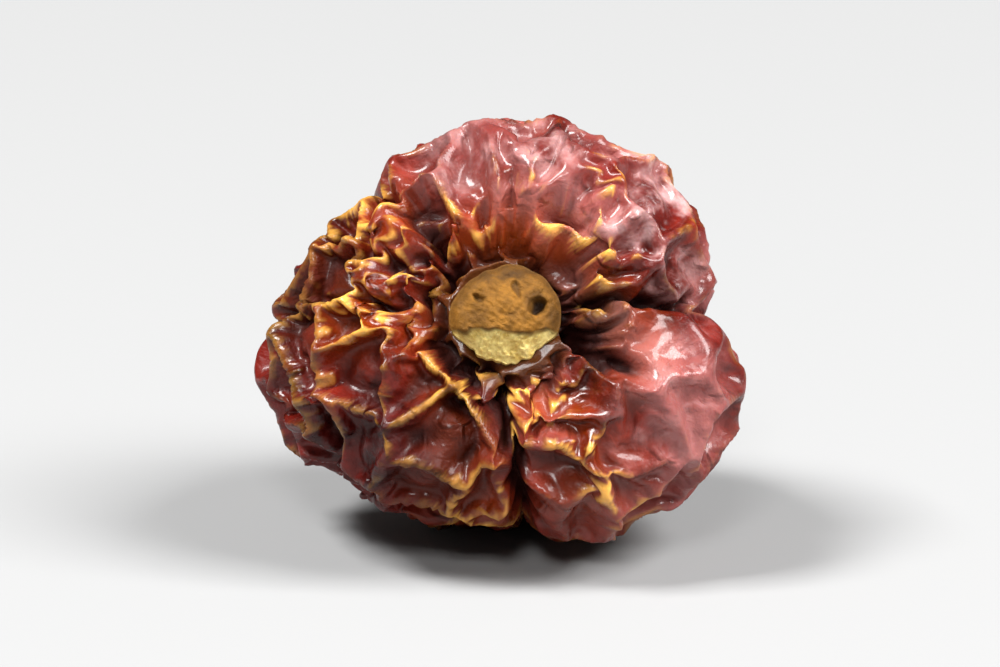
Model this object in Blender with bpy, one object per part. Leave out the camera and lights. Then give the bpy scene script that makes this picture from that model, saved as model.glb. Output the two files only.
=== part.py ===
"""A dried habanero pod, lying on its side with the scar of its stem turned to the front.

The pod is one solid of shrivelled flesh and the stem scar is a corky button that sits in its crown.
Metres, +Z up. The pod rests on Z = 0 and its axis points forward, along -Y, and a little up.
"""

import math

import bmesh
import bpy
import numpy as np

# Lengths of the plump form from its middle to the crown and to the blossom end, how it lies, how much of
# its underside is cut flat, and where its middle is over the surface so that the part is centred, metres
CROWN_LENGTH = 0.0136
TIP_LENGTH = 0.0158
CROWN_FULLNESS = 2.6
TIP_FULLNESS = 2.1
AXIS_LIFT = math.radians(27)
REST_CUT = 0.0010
MIDDLE_RIGHT = 0.0007034
MIDDLE_BACK = -0.000278

# Radius of the plump form round its axis: degrees from the right, millimetres
GIRTH = (
    (8, 15.6), (30, 17.4), (52, 17.0), (80, 15.7), (116, 16.0), (140, 15.8), (162, 17.5), (178, 19.0),
    (205, 17.8), (232, 16.0), (262, 14.6), (281, 15.0), (294, 16.8), (312, 17.2), (328, 18.1), (348, 17.6),
)
GIRTH_BLUR = 7

# Stem scar: half width, half height, edge thickness, dome, and the level of the seat under it, metres
SCAR_HALF_WIDTH = 0.0040
SCAR_HALF_HEIGHT = 0.0035
SCAR_EDGE = 0.0012
SCAR_DOME = 0.0007
SCAR_GAP = 0.0003
SEAT_HEIGHT = 0.0096
SEAT_MARGIN = 0.0006
SEAT_SLOPE = 1.8
CONE_RIM = 0.01
FAR_OFF = 1.0
SEAT_EDGE = math.atan2(SCAR_HALF_WIDTH + SEAT_MARGIN, SEAT_HEIGHT)
FACE_HEIGHT = SEAT_HEIGHT + SCAR_GAP + SCAR_EDGE + SCAR_DOME

# How unevenly the scar's outline, its face and its lip run: how much, and over what distance. The outline's
# two are shares of the scar's size, the others metres. Then how far up the button's side is rounded off.
OUTLINE_DRIFT = (0.03, 1.3)
FACE_DRIFT = (0.00008, 0.0016)
LIP_DRIFT = (0.0002, 0.003)
SIDE_ROUNDING = 0.4

# The torn lower lip of the scar, and its pits: metres right, metres above the middle, radius and depth
LIP_TOP = -0.0012
LIP_DROP = 0.0005
LIP_STEP = 0.0004
SCAR_PITS = (
    (-0.0017, 0.0009, 0.00045, 0.0005),
    (0.0009, 0.0014, 0.0004, 0.0003),
    (0.0022, 0.0003, 0.0006, 0.0006),
)

# The hollow of the crown round the scar, and the pucker and nib of the blossom end
CROWN_HOLLOW_DEPTH = 0.0040
CROWN_HOLLOW_FLOOR = math.radians(20)
CROWN_HOLLOW_RIM = math.radians(45)
TIP_PUCKER_DEPTH = 0.0022
TIP_PUCKER_SPREAD = math.radians(20)
TIP_NIB_HEIGHT = 0.0016
TIP_NIB_SPREAD = math.radians(7)

# Colours of the two materials, and how rough they are
FLESH_COLOUR = (0.21, 0.024, 0.014)
FLESH_ROUGHNESS = 0.32
CORK_COLOUR = (0.42, 0.29, 0.09)
CORK_ROUGHNESS = 0.75

# Mesh density
POD_SEGMENTS = 108
POD_RINGS = 52
SEAT_RINGS = 2
SCAR_SEGMENTS = 52
SCAR_RINGS = 24

# The places of the front's panels, folds and hollows are as seen along this line, below the pod's axis
SIGHT_BELOW_AXIS = math.radians(11)

# Creases between the pod's lobes: turn about the axis from the right, depth, half width,
# and the angles from the stem end where each begins and ends. Then over how many degrees they deepen and
# run out, and how far they meander and over what distance, in radians
CREASES = (
    (6, 0.0016, 0.0011, 40, 125),
    (-84, 0.0016, 0.0011, 45, 140),
    (-140, 0.0012, 0.0016, 45, 150),
    (176, 0.0011, 0.0012, 50, 135),
    (132, 0.0010, 0.0012, 40, 120),
    (40, 0.0008, 0.0012, 70, 140),
)
CREASE_START = 12
CREASE_END = 40
CREASE_MEANDER = (0.05, 0.9)

# Sunken panels of the front, millimetres: right of the scar's middle and above it, how wide and how deep
FRONT_PANELS = (
    (-2.8, 10.6, 4.6, 1.6), (-6.6, 10.9, 3.2, 1.0), (-9.2, 9.0, 3.6, 1.4), (-6.4, 6.6, 3.6, 2.6),
    (-10.4, 5.7, 3.2, 1.6), (-6.0, 4.1, 2.8, 2.6), (-14.4, 3.2, 5.2, 1.4), (-8.2, 2.8, 2.0, 1.2),
    (-9.6, 1.0, 3.0, 1.6), (-12.9, -1.6, 4.2, 1.2), (-11.2, -4.6, 6.6, 1.6), (-8.4, -2.3, 2.6, 1.2),
    (-4.9, -0.7, 2.2, 1.2), (-5.0, -3.0, 2.4, 1.6), (-2.6, -5.0, 2.8, 2.2), (-4.7, -8.9, 5.0, 1.8),
    (-6.6, -12.6, 4.4, 1.2), (-1.2, -13.6, 3.2, 0.9), (-0.6, -7.4, 2.4, 2.4), (2.3, -5.2, 1.8, 1.4),
    (4.7, -5.8, 2.0, 1.4), (4.9, -8.4, 2.8, 1.4), (4.2, -12.0, 5.0, 1.6), (7.3, -2.2, 4.8, 2.8),
    (6.6, 2.0, 1.6, 1.8), (6.8, 0.3, 1.6, 1.8), (11.4, -2.6, 6.0, 0.9), (9.4, -9.2, 5.4, 0.8),
    (13.0, -7.0, 4.6, 0.7), (8.3, 4.7, 2.8, 1.8), (11.0, 8.2, 5.6, 0.9), (4.9, 10.0, 3.4, 1.3),
    (3.2, 8.0, 3.6, 1.6), (7.6, 6.6, 2.4, 1.4), (-0.2, 6.6, 3.6, 1.6), (3.6, 4.9, 3.8, 1.8),
    (13.2, 3.8, 4.6, 1.0), (10.9, 0.9, 3.4, 1.0), (1.4, 12.2, 4.0, 1.0), (6.8, 11.8, 3.8, 1.0),
    (8.8, -12.6, 3.6, 0.9),
)

# Standing folds of the front: height, then the line it runs along, millimetres right and above
FRONT_FOLDS = (
    (1.2, ((-3.8, 6.9), (-3.3, 5.4), (-2.4, 4.2))),
    (1.0, ((-9.5, 7.6), (-8.2, 8.1), (-6.8, 7.8), (-4.6, 7.2), (-3.8, 6.9))),
    (0.8, ((-3.8, 6.9), (-3.0, 7.3), (-2.1, 8.4), (-1.1, 8.8), (0.5, 9.3))),
    (1.0, ((-12.6, 5.9), (-11.7, 5.4), (-10.3, 5.6), (-9.0, 6.5), (-7.6, 6.8), (-7.3, 5.9), (-8.3, 4.9))),
    (1.0, ((-11.9, 3.8), (-10.6, 3.5), (-10.0, 2.7), (-11.0, 2.0), (-9.4, 1.6), (-8.7, 3.2), (-7.3, 2.2))),
    (1.0, ((-8.2, 1.7), (-5.7, 1.6), (-4.5, 1.1))),
    (1.1, ((-13.8, 0.8), (-12.9, 1.1), (-11.4, 0.5), (-11.0, -0.5), (-9.5, -0.3), (-8.4, -0.8))),
    (1.1, ((-8.4, -0.8), (-6.3, -0.8), (-5.7, 0.5), (-5.0, 0.8))),
    (0.7, ((-7.3, -1.1), (-7.1, -2.2), (-7.9, -3.5), (-9.0, -4.1))),
    (1.2, ((-6.3, -2.7), (-5.2, -4.3), (-4.2, -5.9), (-3.0, -6.2), (-1.4, -5.5), (-0.2, -4.5))),
    (1.2, ((-0.2, -4.5), (1.3, -4.0), (2.8, -3.9), (4.1, -4.5), (5.2, -5.2), (5.9, -4.3))),
    (1.2, ((1.2, -4.0), (1.4, -5.9), (1.3, -7.6), (1.2, -8.9))),
    (0.9, ((2.4, -6.2), (3.2, -6.8), (4.5, -6.6), (5.9, -5.7), (7.1, -5.7))),
    (1.0, ((2.1, -5.9), (3.1, -7.3), (3.7, -8.4), (3.7, -9.7), (5.9, -9.7), (6.7, -10.3))),
    (0.9, ((6.7, -10.3), (6.4, -11.1), (7.5, -13.8), (7.8, -16.2))),
    (0.8, ((-2.5, -7.2), (-1.7, -9.2), (-0.9, -11.9), (-0.2, -15.1))),
    (1.1, ((4.9, 2.2), (5.6, 2.7), (7.8, 2.2), (8.7, 1.9))),
    (1.1, ((5.0, 0.5), (6.4, -0.4), (8.3, -0.5), (8.9, 0.5), (10.2, 1.4))),
    (1.3, ((1.7, 6.2), (3.5, 5.8), (5.6, 4.9), (7.2, 3.9), (8.3, 3.1))),
    (0.8, ((0.2, 10.0), (1.8, 11.3), (4.0, 11.1), (5.9, 10.3), (7.5, 9.9), (7.5, 8.6))),
    (0.9, ((7.5, 8.6), (6.2, 8.1), (5.4, 7.4), (6.2, 6.5), (7.1, 6.2))),
    (0.7, ((0.2, 12.0), (0.5, 10.3), (1.6, 9.0), (1.3, 7.8))),
    (0.7, ((7.8, 7.8), (8.9, 6.5), (9.9, 4.6), (8.7, 2.9))),
    (0.6, ((-9.0, 10.0), (-6.3, 9.5), (-3.3, 8.9), (-1.1, 8.6))),
    (0.4, ((8.3, -2.7), (10.2, -4.9), (11.3, -6.5), (10.5, -7.8))),
    (0.5, ((7.8, -6.5), (7.5, -9.7), (8.6, -11.1), (11.0, -13.2))),
)
FOLD_WIDTH = 0.0006
FOLD_MEANDER = (0.014, 0.3)

# Wrinkles begin at this angle from the scar's middle and are full at the next. The front's own ones are full
# where the skin faces forward by the second of these shares, and end where it faces forward by the first.
WRINKLES_BEGIN = math.radians(13)
WRINKLES_FULL = math.radians(23)
FRONT_ENDS = 0.1
FRONT_FULL = 0.35

# Hollows of the front: depth, half width, then the line each runs along, millimetres right and above
FRONT_HOLLOWS = (
    (2.0, 0.9, ((4.9, -1.4), (6.7, -3.0), (8.9, -4.3))),
    (1.0, 0.6, ((-3.3, -3.7), (-1.4, -4.3))),
    (1.8, 0.7, ((-0.3, -5.9), (-0.2, -7.6), (0.6, -9.7), (0.9, -12.7), (1.6, -15.8))),
    (1.6, 0.8, ((-5.7, 6.2), (-5.2, 4.3), (-4.8, 3.0))),
    (1.0, 0.6, ((-9.5, 4.7), (-6.8, 4.3))),
    (1.4, 0.6, ((5.3, 1.3), (9.1, 1.0), (14.5, 0.8))),
    (0.9, 1.8, ((0.5, 5.4), (1.2, 4.6))),
)

# Panels of the sides and back, how unevenly they are spread, how far their widths and depths differ, the
# width of the folds between them and how far these meander
SIDE_PANEL_COUNT = 150
SIDE_PANEL_JITTER = 0.065
SIDE_PANEL_WIDTH = 0.0042
SIDE_PANEL_GAP = 0.0030
SIDE_PANEL_DEPTH = 0.0014
WIDTH_RANGE = (0.6, 1.3)
DEPTH_RANGE = (0.45, 1.35)
PANEL_EDGE = 0.0011
CORNER_RISE = 0.05
PANEL_MEANDER = (0.028, 0.55)
PANEL_RIPPLE = (0.012, 0.22)

# How far the mesh is drawn towards the crests of the folds, in how many steps, how far from the seat that
# begins, as a share of the seat's edge, and any direction that the two ways over the skin are measured from
GATHER_STEP = 0.00016
GATHER_STEPS = 3
SEAT_CALM = 1.2
ASIDE = (0.31, 0.94, 0.12)

# Waves in a random field, how far their lengths differ, and the seeds of what they shape
MEANDER_WAVES = 14
OUTLINE_WAVES = 9
FACE_WAVES = 10
LIP_WAVES = 8
WAVE_RANGE = (0.7, 1.3)
PANEL_SEED = 5
PANEL_MEANDER_SEED = 15
PANEL_RIPPLE_SEED = 25
CREASE_SEED = 35
FOLD_SEED = 55
FACE_SEED = 65
LIP_SEED = 75
OUTLINE_SEED = 85

# Finding a place of the plump form: steps, the radius to begin with and the least share of it towards the eye
SEARCH_STEPS = 8
FIRST_RADIUS = 0.017
LEAST_NEARER = 0.2

# Finding how high the pod's middle is: turns and dips that are tried, and the least dip
TURNS_TRIED = 180
DIPS_TRIED = 90
LEAST_DIP = 0.5


def unit(vectors):
    """The vectors, each divided by its length."""
    return vectors / np.linalg.norm(vectors, axis=1, keepdims=True)


def smooth_step(low, high, values):
    """Nought below low, one above high, and a smooth rise between them."""
    share = np.clip((values - low) / (high - low), 0, 1)
    return share * share * (3 - 2 * share)


def pod_axes():
    """Right, up and stemward directions of the pod, as the columns of a matrix in the part's frame."""
    right = (1, 0, 0)
    up = (0, math.sin(AXIS_LIFT), math.cos(AXIS_LIFT))
    stemward = (0, -math.cos(AXIS_LIFT), math.sin(AXIS_LIFT))
    return np.array([right, up, stemward]).T


def sight_axes():
    """Right, up and nearer as the front is looked at, as the columns of a matrix in the pod's frame."""
    up = (0, math.cos(SIGHT_BELOW_AXIS), math.sin(SIGHT_BELOW_AXIS))
    nearer = (0, -math.sin(SIGHT_BELOW_AXIS), math.cos(SIGHT_BELOW_AXIS))
    return np.array([(1, 0, 0), up, nearer]).T


def drift(directions, waves, wavelength, seed):
    """A smooth random field over the sphere, about -1 to 1: a sum of sine waves in random directions."""
    rng = np.random.default_rng(seed)
    headings = unit(rng.normal(size=(waves, 3)))
    rates = 2 * math.pi / wavelength * rng.uniform(*WAVE_RANGE, waves)
    phases = rng.uniform(0, 2 * math.pi, waves)
    return np.sin(directions @ (headings * rates[:, None]).T + phases).sum(axis=1) / math.sqrt(waves)


def wandered(directions, meander, seed):
    """The directions, each moved along the sphere, so that straight lines meander.

    The meander is how far they move at most, about, and over what distance that changes.
    """
    reach, wavelength = meander
    steps = [drift(directions, MEANDER_WAVES, wavelength, seed + axis) for axis in range(3)]
    return unit(directions + reach * np.stack(steps, axis=1))


def girth_radius(turn):
    """Radius of the plump form at each turn about its axis, in degrees, blurred a little between lobes."""
    angles, radii = np.array(GIRTH).T
    nearby = [np.interp(turn + aside, angles, radii, period=360) for aside in (-GIRTH_BLUR, 0, GIRTH_BLUR)]
    return sum(nearby) / len(nearby) / 1000


def body_radius(directions):
    """The plump form under the wrinkles: a lobed, squat ball with broad shoulders and a drawn-in tip."""
    turn = np.degrees(np.arctan2(directions[:, 1], directions[:, 0]))
    across = np.hypot(directions[:, 0], directions[:, 1]) / girth_radius(turn)
    ahead = np.abs(directions[:, 2])
    crown = (across ** CROWN_FULLNESS + (ahead / CROWN_LENGTH) ** CROWN_FULLNESS) ** (-1 / CROWN_FULLNESS)
    tip = (across ** TIP_FULLNESS + (ahead / TIP_LENGTH) ** TIP_FULLNESS) ** (-1 / TIP_FULLNESS)
    form = np.where(directions[:, 2] > 0, crown, tip)
    from_stem = np.arccos(np.clip(directions[:, 2], -1, 1))
    from_tip = math.pi - from_stem
    form -= CROWN_HOLLOW_DEPTH * (1 - smooth_step(CROWN_HOLLOW_FLOOR, CROWN_HOLLOW_RIM, from_stem))
    form -= TIP_PUCKER_DEPTH * np.exp(-(from_tip / TIP_PUCKER_SPREAD) ** 2)
    form += TIP_NIB_HEIGHT * np.exp(-(from_tip / TIP_NIB_SPREAD) ** 2)
    return form


def on_body(seen):
    """Points of the plump form seen at these places, metres right of the scar's middle and above it.

    Each is found in steps: a sphere of the last radius found is met, and the form's radius there is the next.
    """
    places = seen + (0, math.sin(SIGHT_BELOW_AXIS) * FACE_HEIGHT)
    aside = (places ** 2).sum(axis=1)
    radius = np.full(len(places), FIRST_RADIUS)
    for search in range(SEARCH_STEPS):
        nearer = np.sqrt(np.maximum(radius ** 2 - aside, (LEAST_NEARER * radius) ** 2))
        directions = unit(np.column_stack([places, nearer]) @ sight_axes().T)
        radius = body_radius(directions)
    return directions * radius[:, None]


def crease_depth(directions):
    """How far the creases between the lobes cut in: sharp grooves that run from the crown down the sides."""
    turn = np.arctan2(directions[:, 1], directions[:, 0])
    from_stem = np.degrees(np.arccos(np.clip(directions[:, 2], -1, 1)))
    girth = np.hypot(directions[:, 0], directions[:, 1]) * girth_radius(np.degrees(turn))
    depth = np.zeros(len(directions))
    for angle, deep, half_width, begins, ends in CREASES:
        aside = (turn - math.radians(angle) + math.pi) % (2 * math.pi) - math.pi
        groove = np.exp(-np.abs(aside) * girth / half_width)
        begun = smooth_step(begins - CREASE_START, begins + CREASE_START, from_stem)
        ended = smooth_step(ends - CREASE_END, ends, from_stem)
        depth += deep * groove * begun * (1 - ended)
    return depth


def lattice(count, jitter, rng):
    """Evenly spread points on the unit sphere, each pushed a little off its place."""
    steps = np.arange(count)
    heights = 1 - 2 * (steps + 0.5) / count
    rings = np.sqrt(1 - heights ** 2)
    turns = math.pi * (3 - math.sqrt(5)) * steps
    even = np.column_stack([rings * np.cos(turns), rings * np.sin(turns), heights])
    return unit(even + rng.normal(0, jitter, even.shape))


def sunken(points, middles, widths, depths, edge):
    """Height of a skin that has sunk in panels round these middles and stands in sharp folds between them.

    The panels share the skin out by distance. Towards the border of two panels the skin rises to its full
    height, over about the width of edge, so that the fold between them comes to a crest. Where three or
    more panels meet, the corner rises a little higher still.
    """
    apart = ((points[:, None, :] - middles[None, :, :]) ** 2).sum(axis=2) - (widths / 2) ** 2
    shares = np.exp(-(apart - apart.min(axis=1, keepdims=True)) / (edge * widths.mean()))
    whole = shares.sum(axis=1)
    depth = shares @ depths / whole
    fold = whole - 1
    return -depth * (1 - np.minimum(fold, 1) - CORNER_RISE * np.clip(fold - 1, 0, 1))


def panel_relief(directions):
    """Height of the shrunken skin: sunken panels all over, those of the front in their own places."""
    rng = np.random.default_rng(PANEL_SEED)
    moved = wandered(directions, PANEL_MEANDER, PANEL_MEANDER_SEED)
    moved = wandered(moved, PANEL_RIPPLE, PANEL_RIPPLE_SEED)
    points = moved * body_radius(moved)[:, None]
    panels = np.array(FRONT_PANELS) / 1000
    front = on_body(panels[:, :2])
    sides = lattice(SIDE_PANEL_COUNT, SIDE_PANEL_JITTER, rng)
    sides = sides * body_radius(sides)[:, None]
    nearest = np.linalg.norm(sides[:, None, :] - front[None, :, :], axis=2).min(axis=1)
    sides = sides[nearest > SIDE_PANEL_GAP]
    side_widths = SIDE_PANEL_WIDTH * rng.uniform(*WIDTH_RANGE, len(sides))
    side_depths = SIDE_PANEL_DEPTH * rng.uniform(*DEPTH_RANGE, len(sides))
    middles = np.vstack([front, sides])
    widths = np.concatenate([panels[:, 2], side_widths])
    depths = np.concatenate([panels[:, 3], side_depths])
    return sunken(points, middles, widths, depths, PANEL_EDGE)


def line_distance(places, line):
    """Distance of each place from a line of straight pieces through these points."""
    nearest = np.full(len(places), np.inf)
    corners = np.array(line) / 1000
    for start, end in zip(corners, corners[1:]):
        run = end - start
        share = np.clip((places - start) @ run / (run @ run), 0, 1)
        nearest = np.minimum(nearest, np.linalg.norm(places - start - share[:, None] * run, axis=1))
    return nearest


def front_relief(directions, radius):
    """Height of the folds and hollows that stand out on the front, each in its own place."""
    seen = (directions * radius[:, None]) @ sight_axes()
    places = seen[:, :2] - (0, math.sin(SIGHT_BELOW_AXIS) * FACE_HEIGHT)
    folds = np.zeros(len(directions))
    for height, line in FRONT_FOLDS:
        folds = np.maximum(folds, height / 1000 * np.exp(-line_distance(places, line) / FOLD_WIDTH))
    hollows = np.zeros(len(directions))
    for depth, half_width, line in FRONT_HOLLOWS:
        spread = line_distance(places, line) / (half_width / 1000)
        hollows = np.maximum(hollows, depth / 1000 * np.exp(-spread ** 2))
    return (folds - hollows) * smooth_step(FRONT_ENDS, FRONT_FULL, seen[:, 2] / radius)


def seat_radius(directions):
    """Distance of the scar's seat from the pod's middle: a flat floor in a cone, and far off outside it."""
    wall = SEAT_HEIGHT - SEAT_SLOPE * (SCAR_HALF_WIDTH + SEAT_MARGIN)
    off_wall = directions[:, 2] - SEAT_SLOPE * np.hypot(directions[:, 0], directions[:, 1])
    inside = off_wall > CONE_RIM
    cone = wall / np.maximum(off_wall, CONE_RIM)
    return np.where(inside, np.maximum(cone, SEAT_HEIGHT / directions[:, 2]), FAR_OFF)


def skin_radius(directions):
    """Distance of the skin from the pod's middle along each unit direction of the pod's own frame."""
    from_stem = np.arccos(np.clip(directions[:, 2], -1, 1))
    body = body_radius(directions)
    crumple = panel_relief(directions)
    crumple += front_relief(wandered(directions, FOLD_MEANDER, FOLD_SEED), body)
    radius = body - crease_depth(wandered(directions, CREASE_MEANDER, CREASE_SEED))
    radius += crumple * smooth_step(WRINKLES_BEGIN, WRINKLES_FULL, from_stem)
    return np.minimum(radius, seat_radius(directions))


def gathered(directions):
    """The directions, drawn towards the crests of the folds in small steps so that the mesh follows them."""
    from_stem = np.arccos(np.clip(directions[:, 2], -1, 1))
    calm = smooth_step(SEAT_EDGE, SEAT_CALM * SEAT_EDGE, from_stem)
    step = GATHER_STEP / TIP_LENGTH
    for gathering in range(GATHER_STEPS):
        side = unit(np.cross(directions, ASIDE))
        other = np.cross(directions, side)
        rises = [skin_radius(unit(directions + step * way)) - skin_radius(unit(directions - step * way))
                 for way in (side, other)]
        uphill = rises[0][:, None] * side + rises[1][:, None] * other
        steepness = np.linalg.norm(uphill, axis=1)
        share = calm * step / (steepness + GATHER_STEP)
        directions = unit(directions + share[:, None] * uphill)
    return directions


def middle_height():
    """Height of the pod's middle over the surface that it rests on."""
    turns = np.linspace(0, 2 * math.pi, TURNS_TRIED, endpoint=False)
    dips = np.linspace(LEAST_DIP, math.pi / 2, DIPS_TRIED)
    turn, dip = (grid.ravel() for grid in np.meshgrid(turns, dips))
    below = np.column_stack([np.cos(dip) * np.cos(turn), np.cos(dip) * np.sin(turn), -np.sin(dip)])
    return float((skin_radius(below @ pod_axes()) * np.sin(dip)).max()) - REST_CUT


def laid(points, height):
    """Points of the pod's own frame, laid on the surface. What would sink into it is drawn in to lie flat."""
    turned = points @ pod_axes().T
    sunk = np.maximum(-turned[:, 2], 1e-9)
    return turned * np.minimum(1, height / sunk)[:, None] + (MIDDLE_RIGHT, MIDDLE_BACK, height)


def move_vertices(mesh, places):
    """Puts the mesh's vertices at these places."""
    for vertex, place in zip(mesh.verts, places):
        vertex.co = place


def finished(name, mesh, material, collection):
    """Makes the mesh a smooth-shaded object with this material, in this collection."""
    bmesh.ops.recalc_face_normals(mesh, faces=mesh.faces)
    data = bpy.data.meshes.new(name)
    mesh.to_mesh(data)
    mesh.free()
    data.shade_smooth()
    data.materials.append(material)
    made = bpy.data.objects.new(name, data)
    collection.objects.link(made)
    return made


def plain_material(name, colour, roughness):
    """A Principled BSDF of one colour and roughness."""
    material = bpy.data.materials.new(name)
    material.use_nodes = True
    shader = material.node_tree.nodes["Principled BSDF"]
    shader.inputs["Base Color"].default_value = (*colour, 1)
    shader.inputs["Roughness"].default_value = roughness
    shader.inputs["Metallic"].default_value = 0
    material.diffuse_color = (*colour, 1)
    return material


def make_pod(collection, height):
    """The shrivelled pod: a sphere with few rings under the scar, its vertices moved out to the skin."""
    mesh = bmesh.new()
    bmesh.ops.create_uvsphere(mesh, u_segments=POD_SEGMENTS, v_segments=POD_RINGS, radius=1)
    even = unit(np.array([vertex.co[:] for vertex in mesh.verts]))
    ring = np.arccos(np.clip(even[:, 2], -1, 1)) / math.pi * POD_RINGS
    from_stem = np.interp(ring, (0, SEAT_RINGS, POD_RINGS), (0, SEAT_EDGE, math.pi))
    turn = np.arctan2(even[:, 1], even[:, 0])
    outward = np.column_stack([np.cos(turn), np.sin(turn)]) * np.sin(from_stem)[:, None]
    directions = gathered(np.column_stack([outward, np.cos(from_stem)]))
    move_vertices(mesh, laid(directions * skin_radius(directions)[:, None], height))
    return finished("pod", mesh, plain_material("dried_flesh", FLESH_COLOUR, FLESH_ROUGHNESS), collection)


def scar_height(across, up):
    """Height of the scar's face over its seat: a low dome, dropped along its torn lower lip, with pits."""
    face = np.stack([across, up, np.zeros_like(up)], axis=1)
    share = np.minimum((across / SCAR_HALF_WIDTH) ** 2 + (up / SCAR_HALF_HEIGHT) ** 2, 1)
    unevenness, face_length = FACE_DRIFT
    height = SCAR_EDGE + SCAR_DOME * (1 - share)
    height += unevenness * drift(face, FACE_WAVES, face_length, FACE_SEED)
    raggedness, lip_length = LIP_DRIFT
    torn = LIP_TOP + raggedness * drift(face, LIP_WAVES, lip_length, LIP_SEED)
    height -= LIP_DROP * (1 - smooth_step(torn - LIP_STEP, torn, up))
    for right, above, radius, depth in SCAR_PITS:
        height -= depth * np.exp(-((across - right) ** 2 + (up - above) ** 2) / radius ** 2)
    return height


def make_stem_scar(collection, height):
    """The corky button where the stem broke off: a flattened ball whose lower half is its flat base."""
    mesh = bmesh.new()
    bmesh.ops.create_uvsphere(mesh, u_segments=SCAR_SEGMENTS, v_segments=SCAR_RINGS, radius=1)
    ball = unit(np.array([vertex.co[:] for vertex in mesh.verts]))
    around = np.column_stack([unit(ball[:, :2] + 1e-9), 0 * ball[:, 2]])
    unevenness, wavelength = OUTLINE_DRIFT
    edge = 1 + unevenness * drift(around, OUTLINE_WAVES, wavelength, OUTLINE_SEED)
    across = SCAR_HALF_WIDTH * ball[:, 0] * edge
    up = SCAR_HALF_HEIGHT * ball[:, 1] * edge
    rounded = np.sqrt(np.clip(ball[:, 2], 0, SIDE_ROUNDING) / SIDE_ROUNDING)
    raised = scar_height(across, up) * rounded
    places = np.column_stack([across, up, SEAT_HEIGHT + SCAR_GAP + raised])
    move_vertices(mesh, laid(places, height))
    return finished("stem_scar", mesh, plain_material("corky_scar", CORK_COLOUR, CORK_ROUGHNESS), collection)


def main():
    """Clears the scene and builds the pepper."""
    for leftover in list(bpy.data.objects):
        bpy.data.objects.remove(leftover)
    pepper = bpy.data.collections.new("habanero_pepper")
    bpy.context.scene.collection.children.link(pepper)
    height = middle_height()
    make_pod(pepper, height)
    make_stem_scar(pepper, height)


main()
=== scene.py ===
"""The looks of a dried habanero pod: its shrivelled skin, the corky scar of its stem, and a plain studio.

Metres, +Z up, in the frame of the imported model. The pod lies on its side on Z = 0. Its own frame has its
middle as the origin, +X to the right, +Y up across the pod and +Z towards the stem. The skin starts as the
plump form with its main creases and folds. It is then given more skin than the form needs, and relaxed until
it has crumpled into folds of its own, as the real skin did when the flesh under it dried.
"""

import logging
import math
from collections.abc import Callable
from dataclasses import dataclass, field
from enum import Enum

import bpy
import numpy as np
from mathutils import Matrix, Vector


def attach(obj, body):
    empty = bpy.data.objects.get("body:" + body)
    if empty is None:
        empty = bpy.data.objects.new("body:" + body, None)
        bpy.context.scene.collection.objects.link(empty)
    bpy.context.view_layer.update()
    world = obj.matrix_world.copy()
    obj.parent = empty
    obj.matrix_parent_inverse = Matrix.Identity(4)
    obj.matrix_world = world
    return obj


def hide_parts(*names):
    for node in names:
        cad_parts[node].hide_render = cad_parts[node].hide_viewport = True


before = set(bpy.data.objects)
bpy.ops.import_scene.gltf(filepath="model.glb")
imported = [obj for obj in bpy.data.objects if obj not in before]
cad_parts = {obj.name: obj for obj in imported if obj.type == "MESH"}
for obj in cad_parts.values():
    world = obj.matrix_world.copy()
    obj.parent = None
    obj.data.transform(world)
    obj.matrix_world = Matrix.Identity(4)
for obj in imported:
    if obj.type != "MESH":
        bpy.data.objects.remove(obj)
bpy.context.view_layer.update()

# Waves are their number, mean length and seed. A Meander is its reach, the distance over which it changes,
# and its seed. Plain values stand beside the names of a shader's sockets.
Array = np.ndarray
Pair = tuple[float, float]
Place = tuple[float, float, float]
Line = tuple[Pair, ...]
Rows = tuple[tuple[float, ...], ...]
Waves = tuple[int, float, int]
Meander = tuple[float, float, int]
Value = float | tuple[float, ...]
Plain = tuple[tuple[str, Value], ...]
Input = bpy.types.NodeSocket | Value
LOG = logging.getLogger("habanero")
MM = 0.001
# Stands in for nought where something is divided by it.
TINY = 1e-12
WAVE_SPREAD: Pair = (0.7, 1.3)
MEANDER_WAVES = 14
GOLDEN_ANGLE = math.pi * (3 - math.sqrt(5))


def unit(vectors: Array) -> Array:
    """The vectors, one a row, each divided by its length."""
    return vectors / np.maximum(np.linalg.norm(vectors, axis=1, keepdims=True), TINY)


def off_axis(directions: Array) -> Array:
    """The angle between each direction and the pod's stemward axis."""
    return np.arccos(np.clip(directions[:, 2], -1, 1))


def smooth_step(low: float, high: float, values: Array) -> Array:
    """Nought below low, one above high, and the cubic 3t^2 - 2t^3 between them.

    Args:
        low: where the rise begins.
        high: where it ends.
        values: the numbers that t is worked out from.

    Returns:
        A share from 0 to 1 for each value.
    """
    share = np.clip((values - low) / (high - low), 0, 1)
    return share * share * (3 - 2 * share)


def drift(points: Array, waves: int, wavelength: float, seed: int) -> Array:
    """A smooth random field, about -1 to 1: a sum of sine waves in random directions.

    Each wave's length is the mean one divided by a random number within WAVE_SPREAD.

    Args:
        points: places to read the field at, one row each.
        waves: how many sine waves are added up.
        wavelength: their mean length, in the units of the points.
        seed: start of the random draw.

    Returns:
        One value for each point.
    """
    rng = np.random.default_rng(seed)
    headings = unit(rng.normal(size=(waves, 3)))
    rates = 2 * math.pi / wavelength * rng.uniform(*WAVE_SPREAD, waves)
    phases = rng.uniform(0, 2 * math.pi, waves)
    return np.sin(points @ (headings * rates[:, None]).T + phases).sum(axis=1) / math.sqrt(waves)


def waved(base: Array | float, points: Array, rows: Rows) -> Array:
    """Adds random fields to a base, each of them its height times a drift.

    Args:
        base: what they are added to.
        points: places to read the fields at, one row each.
        rows: the height, number of waves, wavelength and seed of each field.

    Returns:
        One value for each point.
    """
    for height, waves, wavelength, seed in rows:
        base = base + height * drift(points, waves, wavelength, seed)
    return base


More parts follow.
